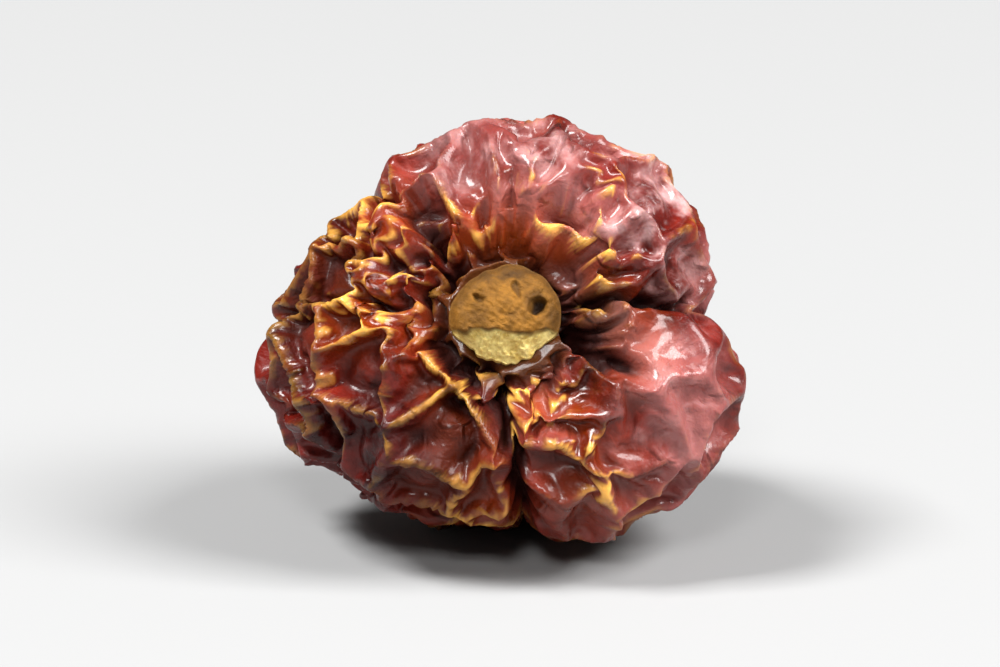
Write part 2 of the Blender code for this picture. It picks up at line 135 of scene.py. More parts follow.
def wandered(directions: Array, meander: Meander) -> Array:
    """The directions, each moved along the sphere by a random field, so that straight lines meander.

    Args:
        directions: unit directions, one row each.
        meander: how far they move at most, about, and over what distance that changes, in radians, and the
            start of the random draw.

    Returns:
        The moved directions.
    """
    reach, wavelength, seed = meander
    steps = [drift(directions, MEANDER_WAVES, wavelength, seed + axis) for axis in range(3)]
    return unit(directions + reach * np.stack(steps, axis=1))


def in_parts(work: Callable[[Array], Array], rows: Array, size: int = 16000) -> Array:
    """Does the work a part at a time, to spare memory.

    Args:
        work: makes one result for each row.
        rows: all the rows.
        size: how many rows are taken at a time.

    Returns:
        The results for all the rows.
    """
    return np.concatenate([work(rows[start:start + size]) for start in range(0, len(rows), size)])


@dataclass(frozen=True)
class Lie:
    """How the pod lies on the surface, and how its front is seen.

    The pod's axis is lifted by a tilt from -Y. A point of the pod's frame is turned by it and moved to the
    middle's place. What would sink below the surface is drawn in towards the middle until it lies flat.
    """

    axis_lift: float = math.radians(27)
    sight_below_axis: float = math.radians(11)
    middle: Place = (0.0007034, -0.000278, 0.0144045)

    def axes(self) -> Array:
        """The pod's own axes.

        Returns:
            Its right, up and stemward directions, as the columns of a matrix in the model's frame.
        """
        up = (0, math.sin(self.axis_lift), math.cos(self.axis_lift))
        stemward = (0, -math.cos(self.axis_lift), math.sin(self.axis_lift))
        return np.array([(1, 0, 0), up, stemward]).T

    def sight(self) -> Array:
        """The directions that the front is seen by.

        Returns:
            Right, up and nearer, as the columns of a matrix in the pod's frame.
        """
        up = (0, math.cos(self.sight_below_axis), math.sin(self.sight_below_axis))
        nearer = (0, -math.sin(self.sight_below_axis), math.cos(self.sight_below_axis))
        return np.array([(1, 0, 0), up, nearer]).T

    def rise(self, ahead: float) -> float:
        """How far above the pod's middle a place this far ahead on its axis is seen."""
        return math.sin(self.sight_below_axis) * ahead

    def laid(self, points: Array) -> Array:
        """Lays points on the surface.

        Args:
            points: places in the pod's frame.

        Returns:
            Their places in the model's frame.
        """
        turned = points @ self.axes().T
        sunk = np.maximum(-turned[:, 2], TINY)
        return turned * np.minimum(1, self.middle[2] / sunk)[:, None] + np.array(self.middle)


@dataclass(frozen=True)
class Seat:
    """The flat seat in the crown that the stem's scar sits on."""

    half_width: float = 0.0040
    half_height: float = 0.0035
    height: float = 0.0096
    gap: float = 0.0003
    margin: float = 0.0002
    slope: float = 1.8
    cone_rim: float = 0.01
    face: float = 0.0118
    clear: float = 1.0

    def edge(self) -> float:
        """Angle from the stemward axis at which the seat ends."""
        return math.atan2(self.half_width + self.margin, self.height)

    def cap(self, directions: Array) -> Array:
        """The largest radius that keeps clear of the scar: a level floor, then a wall that leans outwards.

        Args:
            directions: unit directions of the pod's frame.

        Returns:
            The radius of the floor or the wall, and the clear one where a direction meets neither.
        """
        wall = self.height - self.slope * (self.half_width + self.margin)
        off_wall = directions[:, 2] - self.slope * np.hypot(directions[:, 0], directions[:, 1])
        level = self.height / np.maximum(directions[:, 2], TINY)
        cone = wall / np.maximum(off_wall, self.cone_rim)
        return np.where(off_wall > self.cone_rim, np.maximum(cone, level), self.clear)


@dataclass(frozen=True)
class PlumpForm:
    """The pod's form under its wrinkles: a lobed, squat ball with broad shoulders and a drawn-in tip.

    The girth is given in degrees from the right and millimetres. The form's radius along a direction is
    (across^n + ahead^n)^(-1/n), where across and ahead are the direction's parts off and along the axis,
    each divided by the form's length that way, less a hollow in the crown and a pucker at the tip, plus a
    small nib.
    """

    girth: Line = (
        (8, 15.6), (30, 17.4), (52, 17.0), (80, 15.7), (116, 16.0), (140, 15.8), (162, 17.5), (178, 19.0),
        (205, 17.8), (232, 16.0), (262, 14.6), (281, 15.0), (294, 16.8), (312, 17.2), (328, 18.1),
        (348, 17.6),
    )
    girth_blur: float = 7
    crown_length: float = 0.0136
    tip_length: float = 0.0158
    crown_fullness: float = 2.6
    tip_fullness: float = 2.1
    crown_hollow: float = 0.0040
    hollow_floor: float = math.radians(20)
    hollow_rim: float = math.radians(45)
    tip_pucker: float = 0.0022
    tip_pucker_spread: float = math.radians(20)
    tip_nib: float = 0.0016
    tip_nib_spread: float = math.radians(7)

    def girth_radius(self, turn: Array) -> Array:
        """The form's radius round its axis: the mean of three readings of the girth, a blur apart.

        Args:
            turn: degrees about the axis, from the right.

        Returns:
            The radius at each turn.
        """
        angles, radii = np.array(self.girth).T
        asides = (-self.girth_blur, 0, self.girth_blur)
        readings = [np.interp(turn + aside, angles, radii, period=360) for aside in asides]
        return sum(readings) / len(readings) * MM

    def radius(self, directions: Array) -> Array:
        """Distance of the form from the pod's middle.

        Args:
            directions: unit directions of the pod's frame.

        Returns:
            The distance along each direction.
        """
        turn = np.degrees(np.arctan2(directions[:, 1], directions[:, 0]))
        across = np.hypot(directions[:, 0], directions[:, 1]) / self.girth_radius(turn)
        ahead = np.abs(directions[:, 2])
        crown = across ** self.crown_fullness + (ahead / self.crown_length) ** self.crown_fullness
        tip = across ** self.tip_fullness + (ahead / self.tip_length) ** self.tip_fullness
        form = np.where(directions[:, 2] > 0, crown ** (-1 / self.crown_fullness),
                        tip ** (-1 / self.tip_fullness))
        from_stem = off_axis(directions)
        from_tip = math.pi - from_stem
        form -= self.crown_hollow * (1 - smooth_step(self.hollow_floor, self.hollow_rim, from_stem))
        form -= self.tip_pucker * np.exp(-(from_tip / self.tip_pucker_spread) ** 2)
        return form + self.tip_nib * np.exp(-(from_tip / self.tip_nib_spread) ** 2)


@dataclass(frozen=True)
class Wrinkles:
    """The creases, panels, folds and hollows that the skin starts from, those of the front in their places.

    Places on the front are millimetres right of the scar's middle and above it, as the front is seen. A
    crease is its turn about the axis in degrees, its depth and half width in metres, and the angles from the
    stem where it begins and ends. A panel is its middle, width and depth in millimetres, a fold its height
    and line, and a hollow its depth, half width and line.
    """

    form: PlumpForm
    lie: Lie
    seat: Seat
    creases: Rows = (
        (6, 0.0016, 0.0011, 40, 125), (-84, 0.0016, 0.0011, 45, 140), (-140, 0.0012, 0.0016, 45, 150),
        (176, 0.0011, 0.0012, 50, 135), (132, 0.0010, 0.0012, 40, 120), (40, 0.0008, 0.0012, 70, 140),
    )
    front_panels: Rows = (
        (-2.8, 10.6, 4.6, 1.6), (-6.6, 10.9, 3.2, 1.0), (-9.2, 9.0, 3.6, 1.4), (-6.4, 6.6, 3.6, 2.6),
        (-10.4, 5.7, 3.2, 1.6), (-6.0, 4.1, 2.8, 2.6), (-14.4, 3.2, 5.2, 1.4), (-8.2, 2.8, 2.0, 1.2),
        (-9.6, 1.0, 3.0, 1.6), (-12.9, -1.6, 4.2, 1.2), (-11.2, -4.6, 6.6, 1.6), (-8.4, -2.3, 2.6, 1.2),
        (-4.9, -0.7, 2.2, 1.2), (-5.0, -3.0, 2.4, 1.6), (-2.6, -5.0, 2.8, 2.2), (-4.7, -8.9, 5.0, 1.8),
        (-6.6, -12.6, 4.4, 1.2), (-1.2, -13.6, 3.2, 0.9), (-0.6, -7.4, 2.4, 2.4), (2.3, -5.2, 1.8, 1.4),
        (4.7, -5.8, 2.0, 1.4), (4.9, -8.4, 2.8, 1.4), (4.2, -12.0, 5.0, 1.6), (7.3, -2.2, 4.8, 2.8),
        (6.6, 2.0, 1.6, 1.8), (6.8, 0.3, 1.6, 1.8), (11.4, -2.6, 6.0, 0.9), (9.4, -9.2, 5.4, 0.8),
        (13.0, -7.0, 4.6, 0.7), (8.3, 4.7, 2.8, 1.8), (11.0, 8.2, 5.6, 0.9), (4.9, 10.0, 3.4, 1.3),
        (3.2, 8.0, 3.6, 1.6), (7.6, 6.6, 2.4, 1.4), (-0.2, 6.6, 3.6, 1.6), (3.6, 4.9, 3.8, 1.8),
        (13.2, 3.8, 4.6, 1.0), (10.9, 0.9, 3.4, 1.0), (1.4, 12.2, 4.0, 1.0), (6.8, 11.8, 3.8, 1.0),
        (8.8, -12.6, 3.6, 0.9),
    )
    folds: tuple[tuple[float, Line], ...] = (
        (1.2, ((-3.8, 6.9), (-3.3, 5.4), (-2.4, 4.2))),
        (1.0, ((-9.5, 7.6), (-8.2, 8.1), (-6.8, 7.8), (-4.6, 7.2), (-3.8, 6.9))),
        (0.8, ((-3.8, 6.9), (-3.0, 7.3), (-2.1, 8.4), (-1.1, 8.8), (0.5, 9.3))),
        (1.0, ((-12.6, 5.9), (-11.7, 5.4), (-10.3, 5.6), (-9.0, 6.5), (-7.6, 6.8), (-7.3, 5.9),
               (-8.3, 4.9))),
        (1.0, ((-11.9, 3.8), (-10.6, 3.5), (-10.0, 2.7), (-11.0, 2.0), (-9.4, 1.6), (-8.7, 3.2),
               (-7.3, 2.2))),
        (1.0, ((-8.2, 1.7), (-5.7, 1.6), (-4.5, 1.1))),
        (1.1, ((-13.8, 0.8), (-12.9, 1.1), (-11.4, 0.5), (-11.0, -0.5), (-9.5, -0.3), (-8.4, -0.8))),
        (1.1, ((-8.4, -0.8), (-6.3, -0.8), (-5.7, 0.5), (-5.0, 0.8))),
        (0.7, ((-7.3, -1.1), (-7.1, -2.2), (-7.9, -3.5), (-9.0, -4.1))),
        (1.2, ((-6.3, -2.7), (-5.2, -4.3), (-4.2, -5.9), (-3.0, -6.2), (-1.4, -5.5), (-0.2, -4.5))),
        (1.2, ((-0.2, -4.5), (1.3, -4.0), (2.8, -3.9), (4.1, -4.5), (5.2, -5.2), (5.9, -4.3))),
        (1.2, ((1.2, -4.0), (1.4, -5.9), (1.3, -7.6), (1.2, -8.9))),
        (0.9, ((2.4, -6.2), (3.2, -6.8), (4.5, -6.6), (5.9, -5.7), (7.1, -5.7))),
        (1.0, ((2.1, -5.9), (3.1, -7.3), (3.7, -8.4), (3.7, -9.7), (5.9, -9.7), (6.7, -10.3))),
        (0.9, ((6.7, -10.3), (6.4, -11.1), (7.5, -13.8), (7.8, -16.2))),
        (0.8, ((-2.5, -7.2), (-1.7, -9.2), (-0.9, -11.9), (-0.2, -15.1))),
        (1.1, ((4.9, 2.2), (5.6, 2.7), (7.8, 2.2), (8.7, 1.9))),
        (1.1, ((5.0, 0.5), (6.4, -0.4), (8.3, -0.5), (8.9, 0.5), (10.2, 1.4))),
        (1.3, ((1.7, 6.2), (3.5, 5.8), (5.6, 4.9), (7.2, 3.9), (8.3, 3.1))),
        (0.8, ((0.2, 10.0), (1.8, 11.3), (4.0, 11.1), (5.9, 10.3), (7.5, 9.9), (7.5, 8.6))),
        (0.9, ((7.5, 8.6), (6.2, 8.1), (5.4, 7.4), (6.2, 6.5), (7.1, 6.2))),
        (0.7, ((0.2, 12.0), (0.5, 10.3), (1.6, 9.0), (1.3, 7.8))),
        (0.7, ((7.8, 7.8), (8.9, 6.5), (9.9, 4.6), (8.7, 2.9))),
        (0.6, ((-9.0, 10.0), (-6.3, 9.5), (-3.3, 8.9), (-1.1, 8.6))),
        (0.4, ((8.3, -2.7), (10.2, -4.9), (11.3, -6.5), (10.5, -7.8))),
        (0.5, ((7.8, -6.5), (7.5, -9.7), (8.6, -11.1), (11.0, -13.2))),
    )
    hollows: tuple[tuple[float, float, Line], ...] = (
        (2.0, 0.9, ((4.9, -1.4), (6.7, -3.0), (8.9, -4.3))),
        (1.0, 0.6, ((-3.3, -3.7), (-1.4, -4.3))),
        (1.8, 0.7, ((-0.3, -5.9), (-0.2, -7.6), (0.6, -9.7), (0.9, -12.7), (1.6, -15.8))),
        (1.6, 0.8, ((-5.7, 6.2), (-5.2, 4.3), (-4.8, 3.0))),
        (1.0, 0.6, ((-9.5, 4.7), (-6.8, 4.3))),
        (1.4, 0.6, ((5.3, 1.3), (9.1, 1.0), (14.5, 0.8))),
        (0.9, 1.8, ((0.5, 5.4), (1.2, 4.6))),
    )
    fold_width: float = 0.0005
    side_panel_count: int = 150
    side_panel_jitter: float = 0.065
    side_panel_width: float = 0.0042
    side_panel_gap: float = 0.0030
    side_panel_depth: float = 0.0014
    width_range: Pair = (0.6, 1.3)
    depth_range: Pair = (0.45, 1.35)
    panel_edge: float = 0.0009
    corner_rise: float = 0.05
    crease_start: float = 12
    crease_end: float = 40
    wrinkles_rise: Pair = (math.radians(13), math.radians(23))
    front_rise: Pair = (0.1, 0.35)
    first_radius: float = 0.017
    least_nearer: float = 0.2
    search_steps: int = 8
    panel_meander: Meander = (0.028, 0.55, 15)
    panel_ripple: Meander = (0.012, 0.22, 25)
    crease_meander: Meander = (0.05, 0.9, 35)
    fold_meander: Meander = (0.014, 0.3, 55)
    panel_seed: int = 5

    def crease_depth(self, directions: Array) -> Array:
        """How far the creases between the lobes cut in.

        A crease is depth * exp(-distance / half width) deep, faded at both ends.

        Args:
            directions: unit directions of the pod's frame.

        Returns:
            The depth along each direction.
        """
        turn = np.arctan2(directions[:, 1], directions[:, 0])
        from_stem = np.degrees(off_axis(directions))
        girth = np.hypot(directions[:, 0], directions[:, 1]) * self.form.girth_radius(np.degrees(turn))
        depth = np.zeros(len(directions))
        for angle, deep, half_width, begins, ends in self.creases:
            aside = (turn - math.radians(angle) + math.pi) % (2 * math.pi) - math.pi
            groove = deep * np.exp(-np.abs(aside) * girth / half_width)
            begun = smooth_step(begins - self.crease_start, begins + self.crease_start, from_stem)
            depth += groove * begun * (1 - smooth_step(ends - self.crease_end, ends, from_stem))
        return depth

    def on_form(self, seen: Array) -> Array:
        """Finds points of the plump form, each time on a ball of the form's radius at the last place found.

        Args:
            seen: places on the front, metres right of the scar's middle and above it.

        Returns:
            The points that are seen there, in the pod's frame.
        """
        places = seen + (0, self.lie.rise(self.seat.face))
        aside = (places ** 2).sum(axis=1)
        radius = np.full(len(places), self.first_radius)
        for _ in range(self.search_steps):
            nearer = np.sqrt(np.maximum(radius ** 2 - aside, (self.least_nearer * radius) ** 2))
            directions = unit(np.column_stack([places, nearer]) @ self.lie.sight().T)
            radius = self.form.radius(directions)
        return directions * radius[:, None]

    def side_middles(self, front: Array, rng: np.random.Generator) -> Array:
        """Middles of the panels of the sides and back: an even spiral over the form, each pushed a little.

        Args:
            front: middles of the front's panels, which the others keep off.
            rng: the random draw.

        Returns:
            The middles, in the pod's frame.
        """
        steps = np.arange(self.side_panel_count)
        heights = 1 - 2 * (steps + 0.5) / self.side_panel_count
        rings = np.sqrt(1 - heights ** 2)
        turns = GOLDEN_ANGLE * steps
        even = np.column_stack([rings * np.cos(turns), rings * np.sin(turns), heights])
        sides = unit(even + rng.normal(0, self.side_panel_jitter, even.shape))
        sides = sides * self.form.radius(sides)[:, None]
        nearest = np.linalg.norm(sides[:, None, :] - front[None, :, :], axis=2).min(axis=1)
        return sides[nearest > self.side_panel_gap]

    def panel_relief(self, directions: Array) -> Array:
        """Height of a skin sunk in panels that share it out by distance, and meet in sharp standing folds.

        A panel's share is exp(-(d^2 - nearest d^2) / t), d being the distance to its middle. The sum of the
        shares is one in mid panel and two on a border, where the skin is at its full height.

        Args:
            directions: unit directions of the pod's frame.

        Returns:
            The height along each direction, nought or less but for corners.
        """
        rng = np.random.default_rng(self.panel_seed)
        moved = wandered(wandered(directions, self.panel_meander), self.panel_ripple)
        points = moved * self.form.radius(moved)[:, None]
        panels = np.array(self.front_panels) * MM
        front = self.on_form(panels[:, :2])
        sides = self.side_middles(front, rng)
        side_widths = self.side_panel_width * rng.uniform(*self.width_range, len(sides))
        side_depths = self.side_panel_depth * rng.uniform(*self.depth_range, len(sides))
        middles = np.vstack([front, sides])
        widths = np.concatenate([panels[:, 2], side_widths])
        depths = np.concatenate([panels[:, 3], side_depths])
        apart = ((points[:, None, :] - middles[None, :, :]) ** 2).sum(axis=2) - (widths / 2) ** 2
        shares = np.exp(-(apart - apart.min(axis=1, keepdims=True)) / (self.panel_edge * widths.mean()))
        whole = shares.sum(axis=1)
        fold = whole - 1
        sunk = 1 - np.minimum(fold, 1) - self.corner_rise * np.clip(fold - 1, 0, 1)
        return -(shares @ depths / whole) * sunk

    @staticmethod
    def line_distance(places: Array, line: Line) -> Array:
        """How far places are from a line of straight pieces.

        Args:
            places: metres right of the scar's middle and above it.
            line: the corners of the line, in millimetres.

        Returns:
            The distance of each place from the line.
        """
        nearest = np.full(len(places), np.inf)
        corners = np.array(line) * MM
        for start, end in zip(corners, corners[1:]):
            run = end - start
            share = np.clip((places - start) @ run / (run @ run), 0, 1)
            nearest = np.minimum(nearest, np.linalg.norm(places - start - share[:, None] * run, axis=1))
        return nearest

    def front_relief(self, directions: Array, radius: Array) -> Array:
        """Height of the front's own folds, h exp(-d / w), less its hollows, h exp(-(d / w)^2).

        Args:
            directions: unit directions of the pod's frame.
            radius: the plump form's radius along each.

        Returns:
            The height along each direction.
        """
        seen = (directions * radius[:, None]) @ self.lie.sight()
        places = seen[:, :2] - (0, self.lie.rise(self.seat.face))
        folds = np.zeros(len(directions))
        for height, line in self.folds:
            near = np.exp(-self.line_distance(places, line) / self.fold_width)
            folds = np.maximum(folds, height * MM * near)
        hollows = np.zeros(len(directions))
        for depth, half_width, line in self.hollows:
            spread = self.line_distance(places, line) / (half_width * MM)
            hollows = np.maximum(hollows, depth * MM * np.exp(-spread ** 2))
        return (folds - hollows) * smooth_step(*self.front_rise, seen[:, 2] / radius)

    def radius(self, directions: Array) -> Array:
        """Distance of the wrinkled skin from the pod's middle.

        Args:
            directions: unit directions of the pod's frame.

        Returns:
            The distance along each direction.
        """
        from_stem = off_axis(directions)
        body = self.form.radius(directions)
        crumple = self.panel_relief(directions)
        crumple += self.front_relief(wandered(directions, self.fold_meander), body)
        skin = body - self.crease_depth(wandered(directions, self.crease_meander))
        skin += crumple * smooth_step(*self.wrinkles_rise, from_stem)
        return np.minimum(skin, self.seat.cap(directions))


class Grid:
    """A ball of six square grids, one for each side of a cube, joined along their edges.

    A grid point (u, v) of a side is the direction (tan u, tan v, 1) turned to that side, with u and v from
    -45 to 45 degrees, so that the cells have nearly one size. Points of two sides are one where they agree
    once rounded.
    """

    rounding: float = 1e6

    def __init__(self, cells: int) -> None:
        """Makes the grid.

        Args:
            cells: how many cells there are along each side's edge.
        """
        steps = np.tan(np.linspace(-1, 1, cells + 1) * math.pi / 4)
        first, second = np.meshgrid(steps, steps, indexing="ij")
        one = np.ones_like(first)
        sides = ((first, second, one), (second, first, -one), (one, first, second),
                 (-one, second, first), (second, one, first), (first, -one, second))
        places = unit(np.vstack([np.stack(side, axis=-1).reshape(-1, 3) for side in sides]))
        index = np.arange((cells + 1) ** 2).reshape(cells + 1, cells + 1)
        corners = (index[:-1, :-1], index[1:, :-1], index[1:, 1:], index[:-1, 1:])
        quads = np.stack(corners, axis=-1).reshape(-1, 4)
        quads = np.vstack([quads + side * index.size for side in range(len(sides))])
        _, kept, joined = np.unique(np.round(places * self.rounding).astype(np.int64), axis=0,
                                    return_index=True, return_inverse=True)
        self.cells = cells
        self.directions: Array = places[kept]
        self.quads: Array = joined.ravel()[quads]
        self.count: int = len(self.directions)
        self.sides: Array = self._pairs(((0, 1), (1, 2), (2, 3), (3, 0)))
        self.ties: Array = np.vstack([self.sides, self._pairs(((0, 2), (1, 3)))])
        self._neighbours = np.bincount(self.sides.ravel(), minlength=self.count)[:, None]

    def _pairs(self, corners: tuple[tuple[int, int], ...]) -> Array:
        """Pairs of neighbouring points.

        Args:
            corners: which corners of each cell are joined.

        Returns:
            The pairs of points that they join, each pair once.
        """
        pairs = np.vstack([self.quads[:, list(pair)] for pair in corners])
        return np.unique(np.sort(pairs, axis=1), axis=0)

    def _summed(self, numbers: Array, values: Array) -> Array:
        """Adds up rows by the point that each belongs to.

        Args:
            numbers: the number of a point of the grid for each row.
            values: the rows.

        Returns:
            For each point of the grid, the sum of its rows.
        """
        return np.stack([np.bincount(numbers, column, self.count) for column in values.T], axis=1)

    def gathered(self, pairs: Array, values: Array) -> Array:
        """Adds up what belongs to the pairs that each point is in.

        Args:
            pairs: pairs of points.
            values: a row for each pair.

        Returns:
            For each point, the sum of the rows of the pairs it is first in, less those it is last in.
        """
        first, last = pairs.T
        return self._summed(first, values) - self._summed(last, values)

    def bend(self, values: Array) -> Array:
        """How the values bend: the mean of each point's neighbours, less the point's own.

        Args:
            values: a row for each point.

        Returns:
            A row for each point.
        """
        first, last = self.sides.T
        sums = self._summed(first, values[last]) + self._summed(last, values[first])
        return sums / self._neighbours - values

    def blurred(self, values: Array, rounds: int) -> Array:
        """Blurs one column of values: each is drawn halfway to its neighbours' mean in every round.

        Args:
            values: a number for each point.
            rounds: how often that is done.

        Returns:
            The blurred numbers.
        """
        blurred = values[:, None]
        for _ in range(rounds):
            blurred = blurred + self.bend(blurred) / 2
        return blurred[:, 0]

    def normals(self, points: Array) -> Array:
        """Outward normals: at each point the sum of the cross products of its cells' diagonals.

        Args:
            points: a place for each point of the grid.

        Returns:
            A unit normal for each.
        """
        corners = points[self.quads]
        faces = np.cross(corners[:, 2] - corners[:, 0], corners[:, 3] - corners[:, 1])
        summed = unit(sum(self._summed(self.quads[:, corner], faces) for corner in range(4)))
        outward = np.sign((summed * points).sum(axis=1).sum())
        return summed * outward

    def sharpness(self, points: Array) -> Array:
        """How sharply the skin turns outwards: its bend along the normal, times 4 / spacing^2.

        Args:
            points: the skin's points.

        Returns:
            The turn at each point, in parts of a metre, blurred a little and above nought on crests.
        """
        spacing = np.linalg.norm(points[self.sides[:, 0]] - points[self.sides[:, 1]], axis=1).mean()
        turn = -(self.bend(points) * self.normals(points)).sum(axis=1)
        return self.blurred(turn * 4 / spacing ** 2, 1)

    def finer(self, values: Array, finer: "Grid") -> Array:
        """Carries values over to a grid of half the cell size, whose points are this grid's and their means.

        Args:
            values: a row for each point of this grid.
            finer: the finer grid.

        Returns:
            A row for each point of the finer grid: this grid's own, the mean along an edge or over a cell.
        """
        cells = self.quads
        sides = [(cells[:, corner], cells[:, (corner + 1) % 4]) for corner in range(4)]
        edges = [(self.directions[start] + self.directions[end]) / 2 for start, end in sides]
        middles = [(values[start] + values[end]) / 2 for start, end in sides]
        known = unit(np.vstack([self.directions, *edges, self.directions[cells].mean(axis=1)]))
        carried = np.vstack([values, *middles, values[cells].mean(axis=1)])
        return carried[finer.matched(known)]

    def place_number(self, directions: Array) -> Array:
        """Numbers the places on the cube, counted in steps of this grid along each axis.

        Args:
            directions: unit directions that lie at points of the grid.

        Returns:
            A whole number for each, the same only for the same place.
        """
        largest = np.abs(directions).max(axis=1, keepdims=True)
        steps = np.rint(np.arctan(directions / largest) * 2 / math.pi * self.cells).astype(np.int64)
        span = 4 * self.cells
        return steps @ np.array([1, span, span ** 2])

    def matched(self, known: Array) -> Array:
        """Finds this grid's points among other directions.

        Args:
            known: directions that lie at the grid's points, in any order and some more than once.

        Returns:
            For each point of the grid, the row of a known direction at it.
        """
        numbers = self.place_number(known)
        order = np.argsort(numbers, kind="stable")
        found = np.searchsorted(numbers[order], self.place_number(self.directions))
        return order[np.minimum(found, len(order) - 1)]


@dataclass(frozen=True)
class Shrinking:
    """How the skin crumples: a net of ties that are longer than the form needs, relaxed at ever finer cells.

    In each round every tie moves its two ends towards its own length, and stiffness smooths the net's
    bending. Where the net bends more than a crease does, the stiffness yields but for its firm share, so
    that folds come to thin crests. A slight pull draws the skin in, and the skin is kept between the plump
    form and a floor below it. Each point also carries on most of its last move, so that broad folds form as
    fast as small ones. In calm places there is less skin to spare, it is stiffer, and the pull is outwards:
    they stay broad and smooth. A calm spot is a direction, an angular width in degrees and a strength.
    """

    levels: tuple[tuple[int, int], ...] = ((64, 60), (128, 30))
    spare_skin: float = 0.15
    carried: float = 0.95
    stretch: float = 1.0
    stiffness: float = 0.07
    firm: float = 0.10
    calm_spare: float = 0.6
    calm_stiffness: float = 2.0
    crease_radius: float = 0.0050
    pull: float = 0.0000020
    calm_push: float = 1.15
    deepest: float = 0.0050
    least_depth: float = 0.0004
    proud: float = 0.0005
    give: float = 0.3
    smoothing_rounds: int = 4
    smoothing: float = 0.50
    smoothing_back: float = 0.52
    calm_spots: Rows = (
        (0.75, -0.30, 0.50, 44, 1.0), (0.10, 0.80, 0.55, 44, 1.0), (-0.40, -0.65, 0.60, 34, 0.9),
        (0.25, -0.80, 0.45, 34, 0.8), (0.55, 0.55, 0.60, 36, 0.9), (-0.30, 0.40, -0.85, 36, 0.8),
        (0.60, 0.10, -0.80, 30, 0.7), (-0.85, -0.30, -0.40, 30, 0.7), (-0.10, -0.60, -0.80, 34, 0.8),
    )

    def crumpled(self, wrinkles: Wrinkles) -> tuple[Grid, Array]:
        """Crumples the skin.

        Args:
            wrinkles: the form with the folds that the skin starts from.

        Returns:
            The finest grid, and the skin's points on it in the pod's frame.
        """
        grid, points = None, None
        for cells, rounds in self.levels:
            finer = Grid(cells)
            body = in_parts(wrinkles.form.radius, finer.directions)
            start = in_parts(wrinkles.radius, finer.directions)
            points = finer.directions * start[:, None] if grid is None else grid.finer(points, finer)
            grid = finer
            points = self._relaxed(grid, rounds, points, body, start, wrinkles.seat.edge())
        return grid, self._smoothed(grid, points)

    def _smoothed(self, grid: Grid, points: Array) -> Array:
        """Smooths the skin at the scale of a cell, in rounds that each smooth and take all but that back.

        Args:
            grid: the finest grid.
            points: the skin's points on it.

        Returns:
            The smoothed points.
        """
        for _ in range(self.smoothing_rounds):
            points = points + self.smoothing * grid.bend(points)
            points = points - self.smoothing_back * grid.bend(points)
        return points

    def calm(self, directions: Array) -> Array:
        """How calm the skin is: the most of strength * exp(-(angle / width)^2) over the calm spots.

        Args:
            directions: unit directions of the pod's frame.

        Returns:
            A share from 0 to 1 for each.
        """
        calm = np.zeros(len(directions))
        for right, up, stemward, width, strength in self.calm_spots:
            middle = unit(np.array([[right, up, stemward]]))[0]
            angle = np.degrees(np.arccos(np.clip(directions @ middle, -1, 1)))
            calm = np.maximum(calm, strength * np.exp(-(angle / width) ** 2))
        return calm

    def _relaxed(self, grid: Grid, rounds: int, points: Array, body: Array, start: Array,
                 seat_edge: float) -> Array:
        """Relaxes the skin on one grid.

        Args:
            grid: the grid.
            rounds: how many rounds of relaxing there are.
            points: the skin's points on the grid.
            body: the plump form's radius at each point.
            start: the radius of the skin with its first folds, which its ties are measured on.
            seat_edge: angle from the stem's axis within which the skin stays in place.

        Returns:
            The relaxed points.
        """
        first, last = grid.ties.T
        plump = grid.directions * body[:, None]
        calm = self.calm(grid.directions)
        spare = self.spare_skin * (1 - self.calm_spare * calm)
        stiffness = (self.stiffness * (1 + self.calm_stiffness * calm))[:, None]
        fixed = grid.directions * start[:, None]
        length = np.linalg.norm(fixed[first] - fixed[last], axis=1) * (1 + (spare[first] + spare[last]) / 2)
        pull = self.pull * (1 - self.calm_push * calm)
        crease = np.linalg.norm(plump[first] - plump[last], axis=1).mean() ** 2 / (4 * self.crease_radius)
        ties = np.bincount(grid.ties.ravel(), minlength=grid.count)[:, None]
        free = off_axis(grid.directions) > seat_edge
        ceiling = body + self.proud
        floor = np.minimum(body - self.deepest, start - self.least_depth)
        points = np.where(free[:, None], points, fixed)
        before = points
        for _ in range(rounds):
            moved = points + self.carried * (points - before)
            before = points
            run = moved[last] - moved[first]
            reach = np.linalg.norm(run, axis=1)
            pulls = ((reach - length) / reach / 2)[:, None] * run
            moved = moved + self.stretch * grid.gathered(grid.ties, pulls) / ties
            bend = grid.bend(moved)
            yielding = 1 / (1 + (np.linalg.norm(bend, axis=1, keepdims=True) / crease) ** 2)
            moved = moved - stiffness * (self.firm + (1 - self.firm) * yielding) * grid.bend(bend)
            radius = np.linalg.norm(moved, axis=1)
            drawn = radius - pull
            held = drawn + self.give * (np.clip(drawn, floor, ceiling) - drawn)
            points = np.where(free[:, None], moved * (held / radius)[:, None], fixed)
        return points


def mesh_object(name: str, points: Array, faces: Array, values: dict[str, Array]) -> bpy.types.Object:
    """A smooth-shaded object at the origin with this mesh.

    Args:
        name: name of the object and its mesh.
        points: places of the vertices.
        faces: rows of four vertex numbers.
        values: named numbers at each vertex, for the materials.

    Returns:
        The object, linked to the scene.
    """
    mesh = bpy.data.meshes.new(name)
    mesh.from_pydata(points.tolist(), [], faces.tolist())
    mesh.validate()
    mesh.shade_smooth()
    for label, column in values.items():
        attribute = mesh.attributes.new(label, "FLOAT", "POINT")
        attribute.data.foreach_set("value", column.astype(np.float32))
    made = bpy.data.objects.new(name, mesh)
    bpy.context.scene.collection.objects.link(made)
    return made


